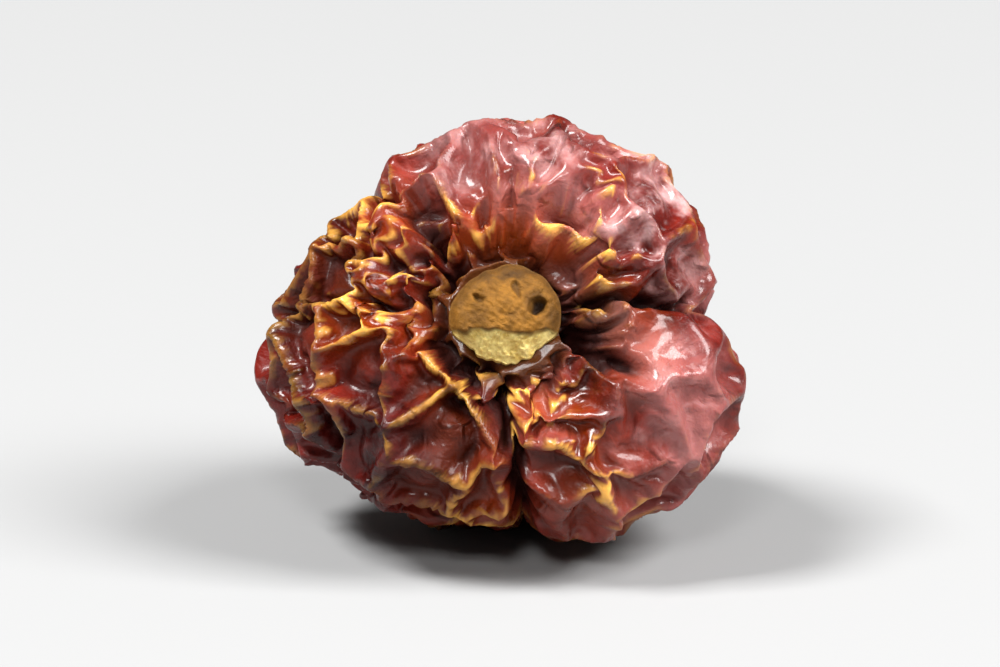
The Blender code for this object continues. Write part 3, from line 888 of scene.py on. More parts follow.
class Nodes:
    """A node tree with short ways to add a node and link it."""

    def __init__(self, tree: bpy.types.NodeTree) -> None:
        """Works on this tree."""
        self.tree = tree

    def add(self, kind: str, settings: dict | None = None, **inputs: Input) -> bpy.types.Node:
        """Adds a node.

        Args:
            kind: the node's type, without the word ShaderNode.
            settings: properties of the node.
            **inputs: a value or an output socket for each input. One is named by its words joined with _, or
                by i and its number.

        Returns:
            The node.
        """
        node = self.tree.nodes.new(kind if kind.startswith("Node") else "ShaderNode" + kind)
        for label, value in (settings or {}).items():
            setattr(node, label, value)
        for label, value in inputs.items():
            numbered = label[0] == "i" and label[1:].isdigit()
            self.put(node.inputs[int(label[1:]) if numbered else label.replace("_", " ")], value)
        return node

    def group(self, tree: bpy.types.NodeTree, **inputs: Input) -> bpy.types.Node:
        """Places a node group with these inputs, named as in add."""
        return self.add("Group", {"node_tree": tree}, **inputs)

    def put(self, socket: bpy.types.NodeSocket, value: Input) -> None:
        """Links an output socket to an input, or sets the input's value.

        Args:
            socket: the input.
            value: an output socket, a number or a colour.
        """
        if isinstance(value, bpy.types.NodeSocket):
            self.tree.links.new(value, socket)
        else:
            socket.default_value = value

    def math(self, how: str, first: Input, second: Input) -> bpy.types.NodeSocket:
        """A Math node's result."""
        return self.add("Math", {"operation": how}, i0=first, i1=second).outputs[0]

    def mix(self, share: Input, first: Input, second: Input) -> bpy.types.NodeSocket:
        """Mixes two colours.

        Args:
            share: how much of the second colour there is.
            first: the colour at share nought.
            second: the colour at share one.

        Returns:
            The mixed colour.
        """
        node = self.add("Mix", {"data_type": "RGBA"})
        for index, value in ((0, share), (6, first), (7, second)):
            self.put(node.inputs[index], value)
        return node.outputs[2]

    def ramp(self, value: Input, low: float, high: float) -> bpy.types.NodeSocket:
        """A smooth rise.

        Args:
            value: what it depends on.
            low: the value at which the rise begins.
            high: the value at which it ends.

        Returns:
            Nought below low, one above high and a smooth rise between.
        """
        node = self.add("MapRange", {"interpolation_type": "SMOOTHSTEP"}, Value=value)
        node.inputs["From Min"].default_value = low
        node.inputs["From Max"].default_value = high
        return node.outputs[0]

    def noise(self, place: Input, scale: Input, detail: float, rough: float) -> bpy.types.NodeSocket:
        """The value of a Noise Texture."""
        return self.add("TexNoise", Vector=place, Scale=scale, Detail=detail, Roughness=rough).outputs[0]

    def value(self, label: str) -> bpy.types.NodeSocket:
        """The named value that the mesh carries at its vertices."""
        return self.add("Attribute", {"attribute_name": label}).outputs["Fac"]


def new_material(name: str) -> tuple[bpy.types.Material, Nodes, bpy.types.Node]:
    """A material that is ready for its nodes.

    Args:
        name: the material's name.

    Returns:
        The material, its Nodes and its shader.
    """
    made = bpy.data.materials.new(name)
    made.use_nodes = True
    return made, Nodes(made.node_tree), made.node_tree.nodes["Principled BSDF"]


def set_plain(shader: bpy.types.Node, values: Plain) -> None:
    """Sets what is the same all over the surface, on the shader's own sockets."""
    for label, value in values:
        shader.inputs[label].default_value = value


def new_group(name: str, inputs: dict[str, Value], outputs: tuple[str, ...]
              ) -> tuple[bpy.types.NodeTree, Nodes, bpy.types.Node, bpy.types.Node]:
    """An empty shader node group.

    Args:
        name: the group's name.
        inputs: a default for each named input, a number or a colour.
        outputs: names of the outputs. One that ends in Color is a colour, and any other is a number.

    Returns:
        The group, its Nodes, its input node and its output node.
    """
    group = bpy.data.node_groups.new(name, "ShaderNodeTree")
    for label, default in inputs.items():
        kind = "NodeSocketColor" if isinstance(default, tuple) else "NodeSocketFloat"
        group.interface.new_socket(label, in_out="INPUT", socket_type=kind).default_value = default
    for label in outputs:
        kind = "NodeSocketColor" if label.endswith("Color") else "NodeSocketFloat"
        group.interface.new_socket(label, in_out="OUTPUT", socket_type=kind)
    nodes = Nodes(group)
    return group, nodes, nodes.add("NodeGroupInput"), nodes.add("NodeGroupOutput")


class Effects:
    """The shader node groups that the flesh and the cork share, each built once.

    A texture is the detail and the roughness of a noise.
    """

    broad_texture: Pair = (4, 0.55)
    fine_texture: Pair = (3, 0.6)
    fine_share: float = 0.25
    fine_times: float = 5.0
    shift_detail: float = 2.0
    shift_reach: float = 0.0028
    line_width: float = 0.16
    gap_texture: Pair = (1, 0.5)
    gap_rise: Pair = (0.42, 0.60)
    dent_texture: Pair = (3, 0.55)
    pit_texture: Pair = (3, 0.6)

    def __init__(self) -> None:
        """Builds the groups."""
        self.mottle = self._mottle()
        self.grain = self._grain()
        self.fold_tint = self._fold_tint()

    def _mottle(self) -> bpy.types.NodeTree:
        """Soft blotches of two colours, and a finer clouding of both.

        The mask is (noise - 0.5) / contrast + 0.5, kept from 0 to 1, and the noise a broad and a fine one.

        Returns:
            The group, which puts out the colour and the mask.
        """
        group, nodes, given, result = new_group(
            "mottle", {"Dark": (0, 0, 0, 1), "Light": (1, 1, 1, 1), "Scale": 200.0, "Contrast": 0.2},
            ("Color", "Mask"))
        place = nodes.add("TexCoord").outputs["Object"]
        broad = nodes.noise(place, given.outputs["Scale"], *self.broad_texture)
        fine_scale = nodes.math("MULTIPLY", given.outputs["Scale"], self.fine_times)
        fine = nodes.noise(place, fine_scale, *self.fine_texture)
        both = nodes.math("ADD", nodes.math("MULTIPLY", broad, 1 - self.fine_share),
                          nodes.math("MULTIPLY", fine, self.fine_share))
        spread = nodes.math("DIVIDE", nodes.math("SUBTRACT", both, 0.5), given.outputs["Contrast"])
        mask = nodes.add("Clamp", Value=nodes.math("ADD", spread, 0.5)).outputs[0]
        nodes.put(result.inputs["Color"], nodes.mix(mask, given.outputs["Dark"], given.outputs["Light"]))
        nodes.put(result.inputs["Mask"], mask)
        return group

    def _grain(self) -> bpy.types.NodeTree:
        """Height of fine relief: thin standing lines where small facets meet, dents between them, and pits.

        The lines are a cell pattern's distance to its borders, read at places that a noise has shifted, so
        that they run unevenly. A second noise makes them come and go.

        Returns:
            The group, which puts out the height.
        """
        group, nodes, given, result = new_group(
            "grain", {"Line Scale": 300.0, "Line Share": 0.5, "Dent Scale": 900.0, "Dent Share": 0.4,
                      "Pit Scale": 4000.0, "Pit Share": 0.2}, ("Height",))
        place = nodes.add("TexCoord").outputs["Object"]
        shift = nodes.add("TexNoise", Vector=place, Scale=given.outputs["Line Scale"],
                          Detail=self.shift_detail)
        small = nodes.add("VectorMath", {"operation": "SCALE"}, i0=shift.outputs["Color"],
                          Scale=self.shift_reach)
        bent = nodes.add("VectorMath", {"operation": "ADD"}, i0=place, i1=small.outputs[0])
        cells = nodes.add("TexVoronoi", {"feature": "DISTANCE_TO_EDGE"}, Vector=bent.outputs[0],
                          Scale=given.outputs["Line Scale"])
        line = nodes.math("SUBTRACT", 1.0, nodes.ramp(cells.outputs["Distance"], 0.0, self.line_width))
        gaps = nodes.noise(place, given.outputs["Line Scale"], *self.gap_texture)
        seldom = nodes.ramp(gaps, *self.gap_rise)
        lines = nodes.math("MULTIPLY", nodes.math("MULTIPLY", line, seldom), given.outputs["Line Share"])
        dents = nodes.noise(bent.outputs[0], given.outputs["Dent Scale"], *self.dent_texture)
        dented = nodes.math("MULTIPLY", dents, given.outputs["Dent Share"])
        pitting = nodes.noise(place, given.outputs["Pit Scale"], *self.pit_texture)
        pits = nodes.math("MULTIPLY", pitting, given.outputs["Pit Share"])
        nodes.put(result.inputs["Height"], nodes.math("ADD", nodes.math("ADD", lines, dented), pits))
        return group

    @staticmethod
    def _fold_tint() -> bpy.types.NodeTree:
        """A colour mixed towards a darker one by its hollow share, and towards another on crests.

        In the flesh's hollows the darker one is painted shade. On the cork it is the brown of pits and
        cracks, and painted shade at the rim.

        Returns:
            The group, which puts out the colour.
        """
        group, nodes, given, result = new_group(
            "fold tint", {"Base": (1, 1, 1, 1), "Crest": (1, 1, 1, 1), "Hollow": (0, 0, 0, 1),
                          "Crest Share": 0.0, "Hollow Share": 0.0}, ("Color",))
        dark = nodes.mix(given.outputs["Hollow Share"], given.outputs["Base"], given.outputs["Hollow"])
        lit = nodes.mix(given.outputs["Crest Share"], dark, given.outputs["Crest"])
        nodes.put(result.inputs["Color"], lit)
        return group


class Shade(Enum):
    """The colours of the dried pod, as linear red, green and blue."""

    BURGUNDY = (0.030, 0.0011, 0.0008, 1)
    RED_BROWN = (0.17, 0.0066, 0.0016, 1)
    # Painted sheen, pale pinkish grey, on the right and upper side.
    MAUVE_SHEEN = (0.30, 0.082, 0.074, 1)
    # Painted highlight, rosy white.
    ROSY_HIGHLIGHT = (0.52, 0.30, 0.29, 1)
    # Painted shade in the flesh's hollows.
    HOLLOW_SHADE = (0.017, 0.0013, 0.0004, 1)
    COLLAR_BROWN = (0.085, 0.022, 0.004, 1)
    ORANGE_BROWN = (0.36, 0.048, 0.002, 1)
    # The thin crests' own paler colour, brightened into a painted glow of light shining through them.
    GOLD = (0.95, 0.50, 0.085, 1)
    CORK_TAN = (0.265, 0.112, 0.011, 1)
    CORK_OLIVE = (0.12, 0.050, 0.005, 1)
    CORK_STRAW = (0.50, 0.33, 0.075, 1)
    CORK_PALE = (0.86, 0.70, 0.26, 1)
    # Brown of the scar's pits and cracks, also used for painted shade at its rim.
    PIT_BROWN_AND_SHADE = (0.020, 0.008, 0.002, 1)
    PALE_FLOOR = (0.318, 0.318, 0.318, 1)


@dataclass(frozen=True)
class Patches:
    """Uneven places for a colour: a noise, and the two values of it between which the colour sets in."""

    scale: float
    detail: float
    rough: float
    rise: Pair

    def share(self, nodes: Nodes, place: Input) -> bpy.types.NodeSocket:
        """How much of the colour there is at a place."""
        return nodes.ramp(nodes.noise(place, self.scale, self.detail, self.rough), *self.rise)


@dataclass(frozen=True)
class Relief:
    """A finish's fine relief: scale and share of its lines, dents and pits, its height and strength."""

    lines: Pair
    dents: Pair
    pits: Pair
    height: float
    strength: float = 1.0

    def put_on(self, nodes: Nodes, shader: bpy.types.Node, grain: bpy.types.NodeTree) -> None:
        """Bumps a shader's normal with this relief.

        Args:
            nodes: the material's Nodes.
            shader: its shader.
            grain: the group that works out the height.
        """
        values = {f"{kind}_{word}": value
                  for kind, pair in (("Line", self.lines), ("Dent", self.dents), ("Pit", self.pits))
                  for word, value in zip(("Scale", "Share"), pair)}
        height = nodes.group(grain, **values).outputs["Height"]
        bump = nodes.add("Bump", Height=height, Distance=self.height, Strength=self.strength)
        nodes.put(shader.inputs["Normal"], bump.outputs[0])


@dataclass(frozen=True)
class FleshFinish:
    """Dried flesh: burgundy to red-brown, golden on thin crests, painted shade in hollows, and satin.

    The painted shade is nearly black. A painted pinkish-grey sheen, a painted rosy highlight, a warm orange
    and the collar's brown lie over its mottled ground, in that order and where the pod's values say. The
    sheen, the highlight and the gold come in patches. The gold is the thin crests' own paler colour with a
    painted glow of light shining through them.
    """

    effects: Effects
    roughness: Pair = (0.24, 0.52)
    hollow_roughness: float = 0.3
    coat: float = 0.42
    mottle_scale: float = 230.0
    mottle_contrast: float = 0.25
    warmth: float = 0.8
    sheen_patches: Patches = Patches(130.0, 3, 0.5, (0.38, 0.62))
    highlight_patches: Patches = Patches(260.0, 4, 0.6, (0.46, 0.66))
    gold_patches: Patches = Patches(420.0, 2, 0.5, (0.30, 0.58))
    relief: Relief = Relief((330.0, 0.8), (850.0, 1.15), (5200.0, 0.12), 0.00022)
    plain: Plain = (
        ("Coat Roughness", 0.16), ("Specular IOR Level", 0.18), ("Subsurface Weight", 0.08),
        ("Subsurface Radius", (1.0, 0.25, 0.08)), ("Subsurface Scale", 0.0010),
    )

    def material(self) -> bpy.types.Material:
        """Builds the material, which reads the pod's values at the vertices.

        Returns:
            The material.
        """
        made, nodes, shader = new_material("dried_flesh_looks")
        place = nodes.add("TexCoord").outputs["Object"]
        mottle = nodes.group(self.effects.mottle, Dark=Shade.BURGUNDY.value, Light=Shade.RED_BROWN.value,
                             Scale=self.mottle_scale, Contrast=self.mottle_contrast)
        tone = mottle.outputs["Color"]
        # Painted sheen on the right and upper side, in patches.
        mauve_sheen = nodes.math("MULTIPLY", nodes.value("mauve_sheen"), self.sheen_patches.share(nodes, place))
        # Painted rosy highlight, in patches.
        painted_highlight = nodes.math("MULTIPLY", nodes.value("painted_highlight"), self.highlight_patches.share(nodes, place))
        warmth = nodes.math("MULTIPLY", nodes.value("warmth"), self.warmth)
        for share, shade in ((mauve_sheen, Shade.MAUVE_SHEEN), (painted_highlight, Shade.ROSY_HIGHLIGHT), (warmth, Shade.ORANGE_BROWN),
                             (nodes.value("collar"), Shade.COLLAR_BROWN)):
            tone = nodes.mix(share, tone, shade.value)
        # Gold on crests: paler thin skin, with a painted glow of light through it.
        crest = nodes.math("MULTIPLY", nodes.value("crest"), self.gold_patches.share(nodes, place))
        # Painted shade: the hollow value mixes near black into the colour. It also makes the surface rougher
        # and thins the coat there.
        hollow = nodes.value("hollow")
        tint = nodes.group(self.effects.fold_tint, Base=tone, Crest=Shade.GOLD.value,
                           Hollow=Shade.HOLLOW_SHADE.value, Crest_Share=crest, Hollow_Share=hollow)
        nodes.put(shader.inputs["Base Color"], tint.outputs["Color"])
        least, most = self.roughness
        rough = nodes.add("MapRange", Value=mottle.outputs["Mask"], To_Min=least, To_Max=most).outputs[0]
        dull = nodes.math("MULTIPLY", hollow, self.hollow_roughness)
        nodes.put(shader.inputs["Roughness"], nodes.math("ADD", rough, dull))
        bare = nodes.math("SUBTRACT", 1.0, hollow)
        nodes.put(shader.inputs["Coat Weight"], nodes.math("MULTIPLY", bare, self.coat))
        self.relief.put_on(nodes, shader, self.effects.grain)
        set_plain(shader, self.plain)
        return made


@dataclass(frozen=True)
class CorkFinish:
    """Cork of the scar: tan and olive on its face, pale where it is torn, brown in its pits."""

    effects: Effects
    face_scale: float = 700.0
    face_contrast: float = 0.3
    torn_scale: float = 1100.0
    torn_contrast: float = 0.25
    relief: Relief = Relief((900.0, 0.3), (2400.0, 0.8), (9000.0, 0.5), 0.00012, 0.7)
    plain: Plain = (
        ("Roughness", 0.7), ("Specular IOR Level", 0.2), ("Subsurface Weight", 0.08),
        ("Subsurface Radius", (1.0, 0.6, 0.25)), ("Subsurface Scale", 0.0008),
    )

    def material(self) -> bpy.types.Material:
        """Builds the material, which reads the values torn and pit at the vertices.

        Returns:
            The material.
        """
        made, nodes, shader = new_material("corky_scar_looks")
        face = nodes.group(self.effects.mottle, Dark=Shade.CORK_OLIVE.value, Light=Shade.CORK_TAN.value,
                           Scale=self.face_scale, Contrast=self.face_contrast)
        torn = nodes.group(self.effects.mottle, Dark=Shade.CORK_STRAW.value, Light=Shade.CORK_PALE.value,
                           Scale=self.torn_scale, Contrast=self.torn_contrast)
        tone = nodes.mix(nodes.value("torn"), face.outputs["Color"], torn.outputs["Color"])
        # The pit value darkens the cork to brown in pits and cracks, and paints shade at the rim.
        tint = nodes.group(self.effects.fold_tint, Base=tone, Hollow=Shade.PIT_BROWN_AND_SHADE.value,
                           Hollow_Share=nodes.value("pit"))
        nodes.put(shader.inputs["Base Color"], tint.outputs["Color"])
        self.relief.put_on(nodes, shader, self.effects.grain)
        set_plain(shader, self.plain)
        return made


@dataclass
class Pod:
    """The shrivelled fruit: one closed skin on the grid of a ball.

    A spot of the front is millimetres right of the scar's middle and above it, its reach, and a share.
    """

    lie: Lie
    seat: Seat
    form: PlumpForm = field(default_factory=PlumpForm)
    shrinking: Shrinking = field(default_factory=Shrinking)
    crest_from: float = 2400.0
    crest_full: float = 2400.0
    crest_plain: float = 1.3
    crest_gold: float = 0.9
    gold_elsewhere: float = 0.22
    gold_waves: Waves = (10, 0.013, 31)
    gold_rise: Pair = (-0.4, 0.8)
    warm_elsewhere: float = 0.45
    warm_waves: Waves = (10, 0.013, 32)
    warm_rise: Pair = (0.2, 1.4)
    warm_hollows: float = 0.6
    # The valleys and the places far below the plump form get painted shade, near black.
    valley_rounds: int = 240
    valley_rise: Pair = (0.0001, 0.0012)
    valley_dark: float = 0.0006
    valley_share: float = 0.65
    sunk_rise: Pair = (0.0020, 0.0042)
    sunk_dark: float = 0.0016
    sunk_share: float = 0.5
    # How much of the spots' painted shade is added to the hollows' painted shade.
    shade_spot_share: float = 0.55
    # Where the painted sheen of the right and upper side sets in.
    sheen_rise: Pair = (-0.008, 0.010)
    sheen_upward: float = 0.5
    front_edge: float = 0.004
    collar_width: float = math.radians(9)
    # Where crests turn golden: paler thin skin, with a painted glow of light through it.
    gold_spots: Rows = (
        (-3.0, 5.9, 2.6, 1.0), (1.2, -5.7, 2.2, 1.0), (1.5, -8.0, 1.6, 1.0), (4.0, -7.2, 2.4, 1.0),
        (5.3, -9.8, 2.0, 0.9), (-1.4, -14.3, 3.0, 0.8), (-10.3, 0.2, 3.2, 1.0), (-8.0, 2.5, 3.0, 0.8),
        (-9.5, 6.5, 4.0, 0.8), (6.2, 8.4, 2.6, 1.0), (1.8, 9.2, 2.0, 0.9), (2.8, 6.2, 2.4, 1.0),
        (6.4, 4.4, 2.6, 1.0), (7.6, -13.0, 2.6, 0.9), (-4.0, -5.0, 3.0, 0.8), (5.6, 1.8, 2.0, 0.7),
    )
    warm_spots: Rows = (
        (0.5, 5.0, 3.0, 1.0), (3.6, 4.4, 2.4, 0.9), (-2.6, 5.2, 1.8, 0.9), (-11.0, -0.5, 3.0, 0.7),
        (-8.0, 6.5, 3.0, 0.5), (2.0, -6.8, 2.0, 0.7), (-1.4, -14.0, 2.4, 0.6), (-6.0, -1.5, 2.4, 0.4),
        (4.6, -7.6, 2.0, 0.5), (5.4, -12.0, 4.5, 0.4),
    )
    # Spots where valleys and sunk places count as deeper, so that they get more painted shade.
    deep_shade_spots: Rows = (
        (6.4, -2.6, 2.8, 1.0), (0.2, -8.4, 1.4, 1.0), (0.9, -11.4, 1.4, 0.9), (-5.8, 4.8, 1.4, 0.8),
        (6.4, 1.0, 1.6, 0.8), (-3.6, -3.4, 1.8, 0.8), (-6.4, 3.8, 1.8, 0.8), (-15.0, 2.0, 4.0, 0.7),
        (-1.0, -4.6, 1.6, 0.6), (9.4, -4.4, 2.0, 0.7),
    )
    olive_spots: Rows = ((6.2, 0.1, 2.6, 1.0), (8.0, 0.4, 1.6, 0.6), (0.8, 3.4, 1.2, 0.5))
    # Spots of painted rosy highlight on the front.
    highlight_spots: Rows = (
        (10.5, 6.5, 4.5, 1.2), (9.5, 1.6, 2.6, 0.9), (3.5, 11.5, 3.0, 0.7), (-2.5, 10.5, 2.6, 0.7),
        (12.5, -4.0, 4.0, 0.35), (9.5, -9.5, 3.5, 0.4),
    )
    # Spots of painted shade on the front, darkened towards near black as the hollows are.
    shade_spots: Rows = (
        (-4.8, -10.0, 6.5, 1.2), (-15.5, 3.0, 4.5, 0.6), (-6.2, 4.8, 1.4, 0.5), (0.4, -10.0, 1.6, 1.0),
        (6.8, -2.8, 2.4, 0.9), (-8.5, -4.5, 3.0, 0.4), (3.0, -12.5, 3.0, 0.3),
    )

    def build(self) -> bpy.types.Object:
        """Crumples the skin, lays it on the surface and works out the values that its finish reads.

        Returns:
            The skin, with its values at the vertices.
        """
        wrinkles = Wrinkles(self.form, self.lie, self.seat)
        grid, points = self.shrinking.crumpled(wrinkles)
        values = self._values(grid, points)
        return mesh_object("pod_skin", self.lie.laid(points), grid.quads, values)

    def _values(self, grid: Grid, points: Array) -> dict[str, Array]:
        """Works out thin crests and hollows, where the colour turns, and where light and shade are painted.

        A hollow lies below the skin blurred over many cells, or far below the plump form. The hollows and
        the spots of painted shade get painted shade. A crest is sharper than
        crest_from * (crest_plain - crest_gold * gold), and only golden places have one. Its gold is partly
        paler skin and partly a painted glow. The right and upper side gets a painted sheen, and some spots a
        painted highlight.

        Args:
            grid: the grid that the skin is on.
            points: the skin's points, in the pod's frame.

        Returns:
            Named shares at the points, from 0 to 1. Only the painted highlight's share can be over one,
            where the mix stops at one.
        """
        sharp = grid.sharpness(points)
        radius = np.linalg.norm(points, axis=1)
        sunk = in_parts(self.form.radius, unit(points)) - radius
        under = grid.blurred(radius, self.valley_rounds) - radius
        from_stem = off_axis(unit(points))
        seen = points @ self.lie.sight() - (0, self.lie.rise(self.seat.face), 0)
        gold_patches = self.gold_elsewhere * smooth_step(*self.gold_rise, drift(points, *self.gold_waves))
        warm_patches = self.warm_elsewhere * smooth_step(*self.warm_rise, drift(points, *self.warm_waves))
        gold = np.maximum(gold_patches, self.spotted(seen, self.gold_spots))
        # Where the hollows' painted shade reaches further.
        dark = self.spotted(seen, self.deep_shade_spots)
        deep = smooth_step(*self.valley_rise, under + self.valley_dark * dark)
        deeper = smooth_step(*self.sunk_rise, sunk + self.sunk_dark * dark)
        warm = self.spotted(seen, self.warm_spots)
        spot_shade = self.spotted(seen, self.shade_spots)
        # Painted shade, near black: in valleys, far below the plump form and in the spots of painted shade.
        hollow = self.valley_share * deep + self.sunk_share * deeper + self.shade_spot_share * spot_shade
        crest_from = self.crest_from * (self.crest_plain - self.crest_gold * gold)
        off_collar = smooth_step(self.seat.edge(), self.seat.edge() + self.collar_width, from_stem)
        return {
            "crest": smooth_step(0, self.crest_full, sharp - crest_from) * gold,
            "hollow": np.clip(hollow, 0, 1) * (1 - self.warm_hollows * warm),
            "warmth": np.maximum(warm_patches, warm),
            "collar": np.maximum(1 - off_collar, self.spotted(seen, self.olive_spots)),
            # Painted sheen on the right and upper side.
            "mauve_sheen": smooth_step(*self.sheen_rise, seen[:, 0] + self.sheen_upward * seen[:, 1]),
            # Painted highlight in its spots.
            "painted_highlight": self.spotted(seen, self.highlight_spots),
        }

    def spotted(self, seen: Array, spots: Rows) -> Array:
        """How far each point is in a spot of the front: the most of share * exp(-(distance / reach)^2).

        Args:
            seen: metres right, above and nearer, as the front is seen.
            spots: the spots.

        Returns:
            A share for each point, at most the largest of the spots' own, and nought on the back.
        """
        most = np.zeros(len(seen))
        for right, above, reach, share in spots:
            away = np.hypot(seen[:, 0] / MM - right, seen[:, 1] / MM - above) / reach
            most = np.maximum(most, share * np.exp(-away ** 2))
        return most * smooth_step(0, self.front_edge, seen[:, 2])

    def dress(self, skin: bpy.types.Object, finish: FleshFinish) -> None:
        """Gives the skin its finish and its place in the frame.

        Args:
            skin: the skin.
            finish: what it is finished with.
        """
        skin.data.materials.append(finish.material())
        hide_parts("pod")
        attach(skin, "root")


@dataclass
class StemScar:
    """The corky button where the stem broke off, with a torn lower lip and small pits.

    A pit is metres right of the middle and above it, its half width, half height, depth and darkness. The
    rows of waves are the random fields that the outline, the face, the lip and the pits stray by.
    """

    lie: Lie
    seat: Seat
    rings: int = 84
    ring_crowding: float = 0.85
    side_rings: int = 12
    first_side_ring: float = 1.08
    spokes: int = 192
    edge: float = 0.0010
    dome: float = 0.0011
    sink: float = 0.0004
    rounding: float = 0.45
    rounding_from: float = 0.80
    breadth: float = 0.98
    outline_waves: Rows = ((0.03, 9, 1.6, 85), (0.014, 12, 0.4, 86))
    face_waves: Rows = ((0.00005, 12, 0.0012, 65), (0.00003, 16, 0.0004, 66))
    lip_top: float = -0.0012
    lip_drop: float = 0.0004
    lip_step: float = 0.0002
    lip_slope: float = 0.28
    lip_waves: Rows = ((0.00016, 8, 0.003, 75), (0.00010, 10, 0.0008, 76))
    lip_narrowing: float = 0.2
    lip_narrowed: float = 0.0012
    lip_sector: Pair = (0.3, 0.9)
    lip_raggedness: float = 0.03
    ragged_waves: Waves = (14, 0.22, 87)
    torn_waves: Rows = ((0.00010, 16, 0.0009, 77), (0.00007, 16, 0.0003, 78))
    aside_waves: Rows = ((0.00022, 10, 0.0014, 80),)
    above_waves: Rows = ((0.00022, 10, 0.0012, 81),)
    pit_wall: Pair = (0.15, 0.85)
    pit_stain: Pair = (0.1, 0.9)
    # Painted shade at the rim: darker towards the face's edge, most at its top.
    rim: Pair = (0.62, 0.98)
    rim_top: Pair = (-0.001, 0.003)
    rim_below: float = 0.35
    rim_shade: float = 0.6
    crack_drop: float = 0.00005
    crack_width: float = 0.00014
    crack_waves: Waves = (8, 0.0018, 82)
    crack_rise: Pair = (-0.6, 0.8)
    crack_stain: float = 0.55
    pits: Rows = (
        (-0.0017, 0.0010, 0.00040, 0.00036, 0.0004, 0.6), (-0.0014, 0.0013, 0.0007, 0.0006, 0.0001, 0.3),
        (0.0009, 0.0016, 0.00026, 0.0008, 0.0003, 0.6), (0.0022, 0.0004, 0.00055, 0.00050, 0.0010, 1.0),
        (0.0020, 0.0008, 0.0008, 0.0009, 0.0001, 0.5), (0.0033, -0.0004, 0.0007, 0.0014, 0.0002, 0.55),
        (-0.0030, 0.0018, 0.00070, 0.00035, 0.0002, 0.35), (0.0002, -0.0003, 0.0009, 0.00022, 0.0001, 0.2),
        (0.0006, 0.0028, 0.0016, 0.0005, 0.0001, 0.6),
    )

    def build(self) -> bpy.types.Object:
        """Builds the scar: rings from the middle of its face over the edge and down to the seat.

        The first parameter runs from the face's middle (0) to its edge (1) and down the side to below the
        seat's level (2), the second round the axis. The outline is an ellipse with a random field's dents.
        The face's height is the edge's thickness plus a low dome, less the torn lip's drop and the pits.

        Returns:
            The scar, with its values at the vertices.
        """
        rings = np.linspace(0, 1, self.rings) ** self.ring_crowding
        run = np.concatenate([rings, np.linspace(self.first_side_ring, 2, self.side_rings)])
        turn = np.arange(self.spokes) / self.spokes * 2 * math.pi
        along, around = (mesh.ravel() for mesh in np.meshgrid(run, turn, indexing="ij"))
        outline = np.column_stack([np.cos(around), np.sin(around), 0 * around])
        ragged = waved(self.breadth, outline, self.outline_waves)
        share = np.minimum(along, 1)
        lower = smooth_step(*self.lip_sector, -np.sin(around))
        ragged = ragged + self.lip_raggedness * lower * drift(outline, *self.ragged_waves)
        across = self.seat.half_width * np.cos(around) * share * ragged
        up = self.seat.half_height * np.sin(around) * share * ragged
        across = across * (1 - self.lip_narrowing * smooth_step(0, self.lip_narrowed, self.lip_top - up))
        height, values = self._face(across, up, share)
        side = np.clip(along - 1, 0, 1)
        rounded = 1 - self.rounding * smooth_step(self.rounding_from, 1, share) ** 2
        level = self.seat.height + self.seat.gap
        ahead = level + height * rounded * (1 - side) - (self.seat.gap + self.sink) * side
        points = self.lie.laid(np.column_stack([across, up, ahead]))
        index = np.arange(len(along)).reshape(len(run), self.spokes)
        nearer, further = index[:-1], index[1:]
        corners = (nearer, further, np.roll(further, -1, axis=1), np.roll(nearer, -1, axis=1))
        quads = np.stack(corners, axis=-1).reshape(-1, 4)
        return mesh_object("stem_scar_cork", points, quads, values)

    def _face(self, across: Array, up: Array, share: Array) -> tuple[Array, dict[str, Array]]:
        """Works out the face: its height, where it is torn, pitted and cracked, and painted shade at its
        rim.

        Args:
            across: metres right of its middle.
            up: metres above its middle.
            share: how far out each point is, one at the edge.

        Returns:
            The height over the seat, and shares of how torn the face is and how dark, in pits and
            cracks and with the painted shade at its rim.
        """
        spot = np.column_stack([across, up, 0 * up])
        height = self.edge + self.dome * (1 - share ** 2)
        height += waved(0, spot, self.face_waves)
        below = waved(self.lip_top, spot, self.lip_waves) - up
        torn = smooth_step(0, self.lip_step, below)
        rough = waved(0, spot, self.torn_waves)
        height += torn * (rough - self.lip_drop) - self.lip_slope * np.maximum(below, 0)
        pit = np.zeros(len(up))
        aside = waved(across, spot, self.aside_waves)
        above_pit = waved(up, spot, self.above_waves)
        for right, above, half_width, half_height, depth, dark in self.pits:
            near = np.exp(-((aside - right) / half_width) ** 2 - ((above_pit - above) / half_height) ** 2)
            height -= depth * smooth_step(*self.pit_wall, near)
            pit = np.maximum(pit, dark * smooth_step(*self.pit_stain, near))
        # Painted shade at the rim, most at the top, and none where the face is torn.
        upper = self.rim_below + (1 - self.rim_below) * smooth_step(*self.rim_top, up)
        rim = smooth_step(*self.rim, share) * upper * (1 - torn)
        broken = smooth_step(*self.crack_rise, drift(spot, *self.crack_waves))
        crack = np.exp(-((below - self.crack_drop) / self.crack_width) ** 2) * broken
        stain_and_shade = np.max([pit, self.rim_shade * rim, self.crack_stain * crack], axis=0)
        return height, {"torn": torn, "pit": stain_and_shade}

    def dress(self, cork: bpy.types.Object, finish: CorkFinish) -> None:
        """Gives the scar its finish and its place in the frame.

        Args:
            cork: the scar.
            finish: what it is finished with.
        """
        cork.data.materials.append(finish.material())
        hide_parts("stem_scar")
        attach(cork, "root")


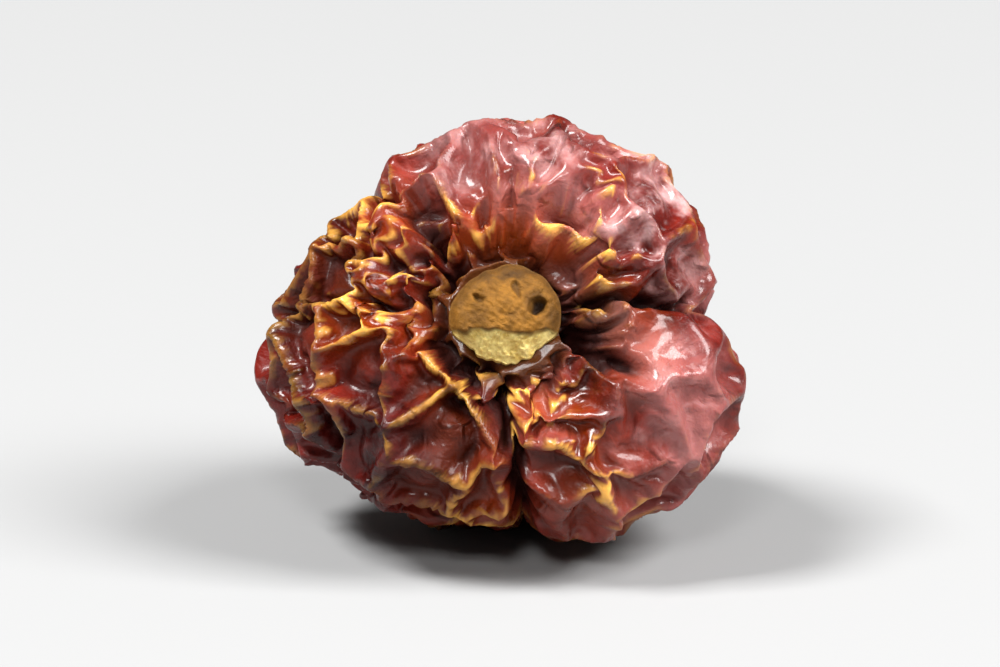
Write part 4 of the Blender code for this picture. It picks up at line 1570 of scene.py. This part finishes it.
@dataclass
class Studio:
    """A plain pale floor, soft lights and the camera. A softbox is its name, place, side and power."""

    target: Place = (0.0003, 0.0, 0.0150)
    elevation: float = math.radians(16)
    distance: float = 0.65
    lens: float = 330.0
    nearest: float = 0.01
    surround: float = 0.11
    floor_side: float = 3.0
    floor_plain: Plain = (("Base Color", Shade.PALE_FLOOR.value), ("Roughness", 0.9),
                          ("Specular IOR Level", 0.1))
    softboxes: tuple[tuple[str, Place, float, float], ...] = (
        ("key", (-0.75, -0.25, 1.35), 0.46, 38.0),
        ("right_fill", (0.85, -0.35, 1.00), 0.66, 32.0),
        ("front_fill", (-0.10, -1.10, 0.90), 0.30, 8.5),
    )

    def build_camera(self) -> None:
        """Builds the camera, in front of the pod and a little above it."""
        data = bpy.data.cameras.new("camera")
        data.lens = self.lens
        data.clip_start = self.nearest
        camera = bpy.data.objects.new("camera", data)
        target = Vector(self.target)
        away = Vector((0, -math.cos(self.elevation), math.sin(self.elevation)))
        camera.location = target + self.distance * away
        camera.rotation_euler = (-away).to_track_quat("-Z", "Y").to_euler()
        bpy.context.scene.collection.objects.link(camera)
        bpy.context.scene.camera = camera

    def build_light(self, name: str, place: Place, size: float, power: float) -> None:
        """Builds a square area light that is turned to the pod.

        Args:
            name: its name.
            place: where it is.
            size: length of its side.
            power: its power in watts.
        """
        data = bpy.data.lights.new(name, "AREA")
        data.size = size
        data.energy = power
        light = bpy.data.objects.new(name, data)
        light.location = place
        light.rotation_euler = (Vector(self.target) - Vector(place)).to_track_quat("-Z", "Y").to_euler()
        bpy.context.scene.collection.objects.link(light)

    def build_floor(self) -> None:
        """Builds a flat pale floor."""
        corners = ((-1, -1, 0), (1, -1, 0), (1, 1, 0), (-1, 1, 0))
        points = np.array(corners) * self.floor_side / 2
        floor = mesh_object("floor", points, np.array([[0, 1, 2, 3]]), {})
        material, _, shader = new_material("pale_floor")
        set_plain(shader, self.floor_plain)
        floor.data.materials.append(material)

    def build_world(self) -> None:
        """Builds an even white surround."""
        world = bpy.data.worlds.new("surround")
        world.use_nodes = True
        shader = world.node_tree.nodes["Background"]
        shader.inputs["Color"].default_value = (1, 1, 1, 1)
        shader.inputs["Strength"].default_value = self.surround
        bpy.context.scene.world = world

    def build(self) -> None:
        """Builds the camera, the floor, the surround and the lights."""
        self.build_camera()
        self.build_floor()
        self.build_world()
        for name, place, size, power in self.softboxes:
            self.build_light(name, place, size, power)
        bpy.context.scene.view_settings.view_transform = "Standard"


def main() -> None:
    """Builds the studio, the pod and the scar, and reports each piece."""
    logging.basicConfig(level=logging.INFO, format="%(name)s: %(message)s")
    Studio().build()
    lie, seat, effects = Lie(), Seat(), Effects()
    pod = Pod(lie, seat)
    skin = pod.build()
    pod.dress(skin, FleshFinish(effects))
    LOG.info("pod_skin: %d points", len(skin.data.vertices))
    scar = StemScar(lie, seat)
    cork = scar.build()
    scar.dress(cork, CorkFinish(effects))
    LOG.info("stem_scar_cork: %d points", len(cork.data.vertices))


if __name__ == "__main__":
    main()
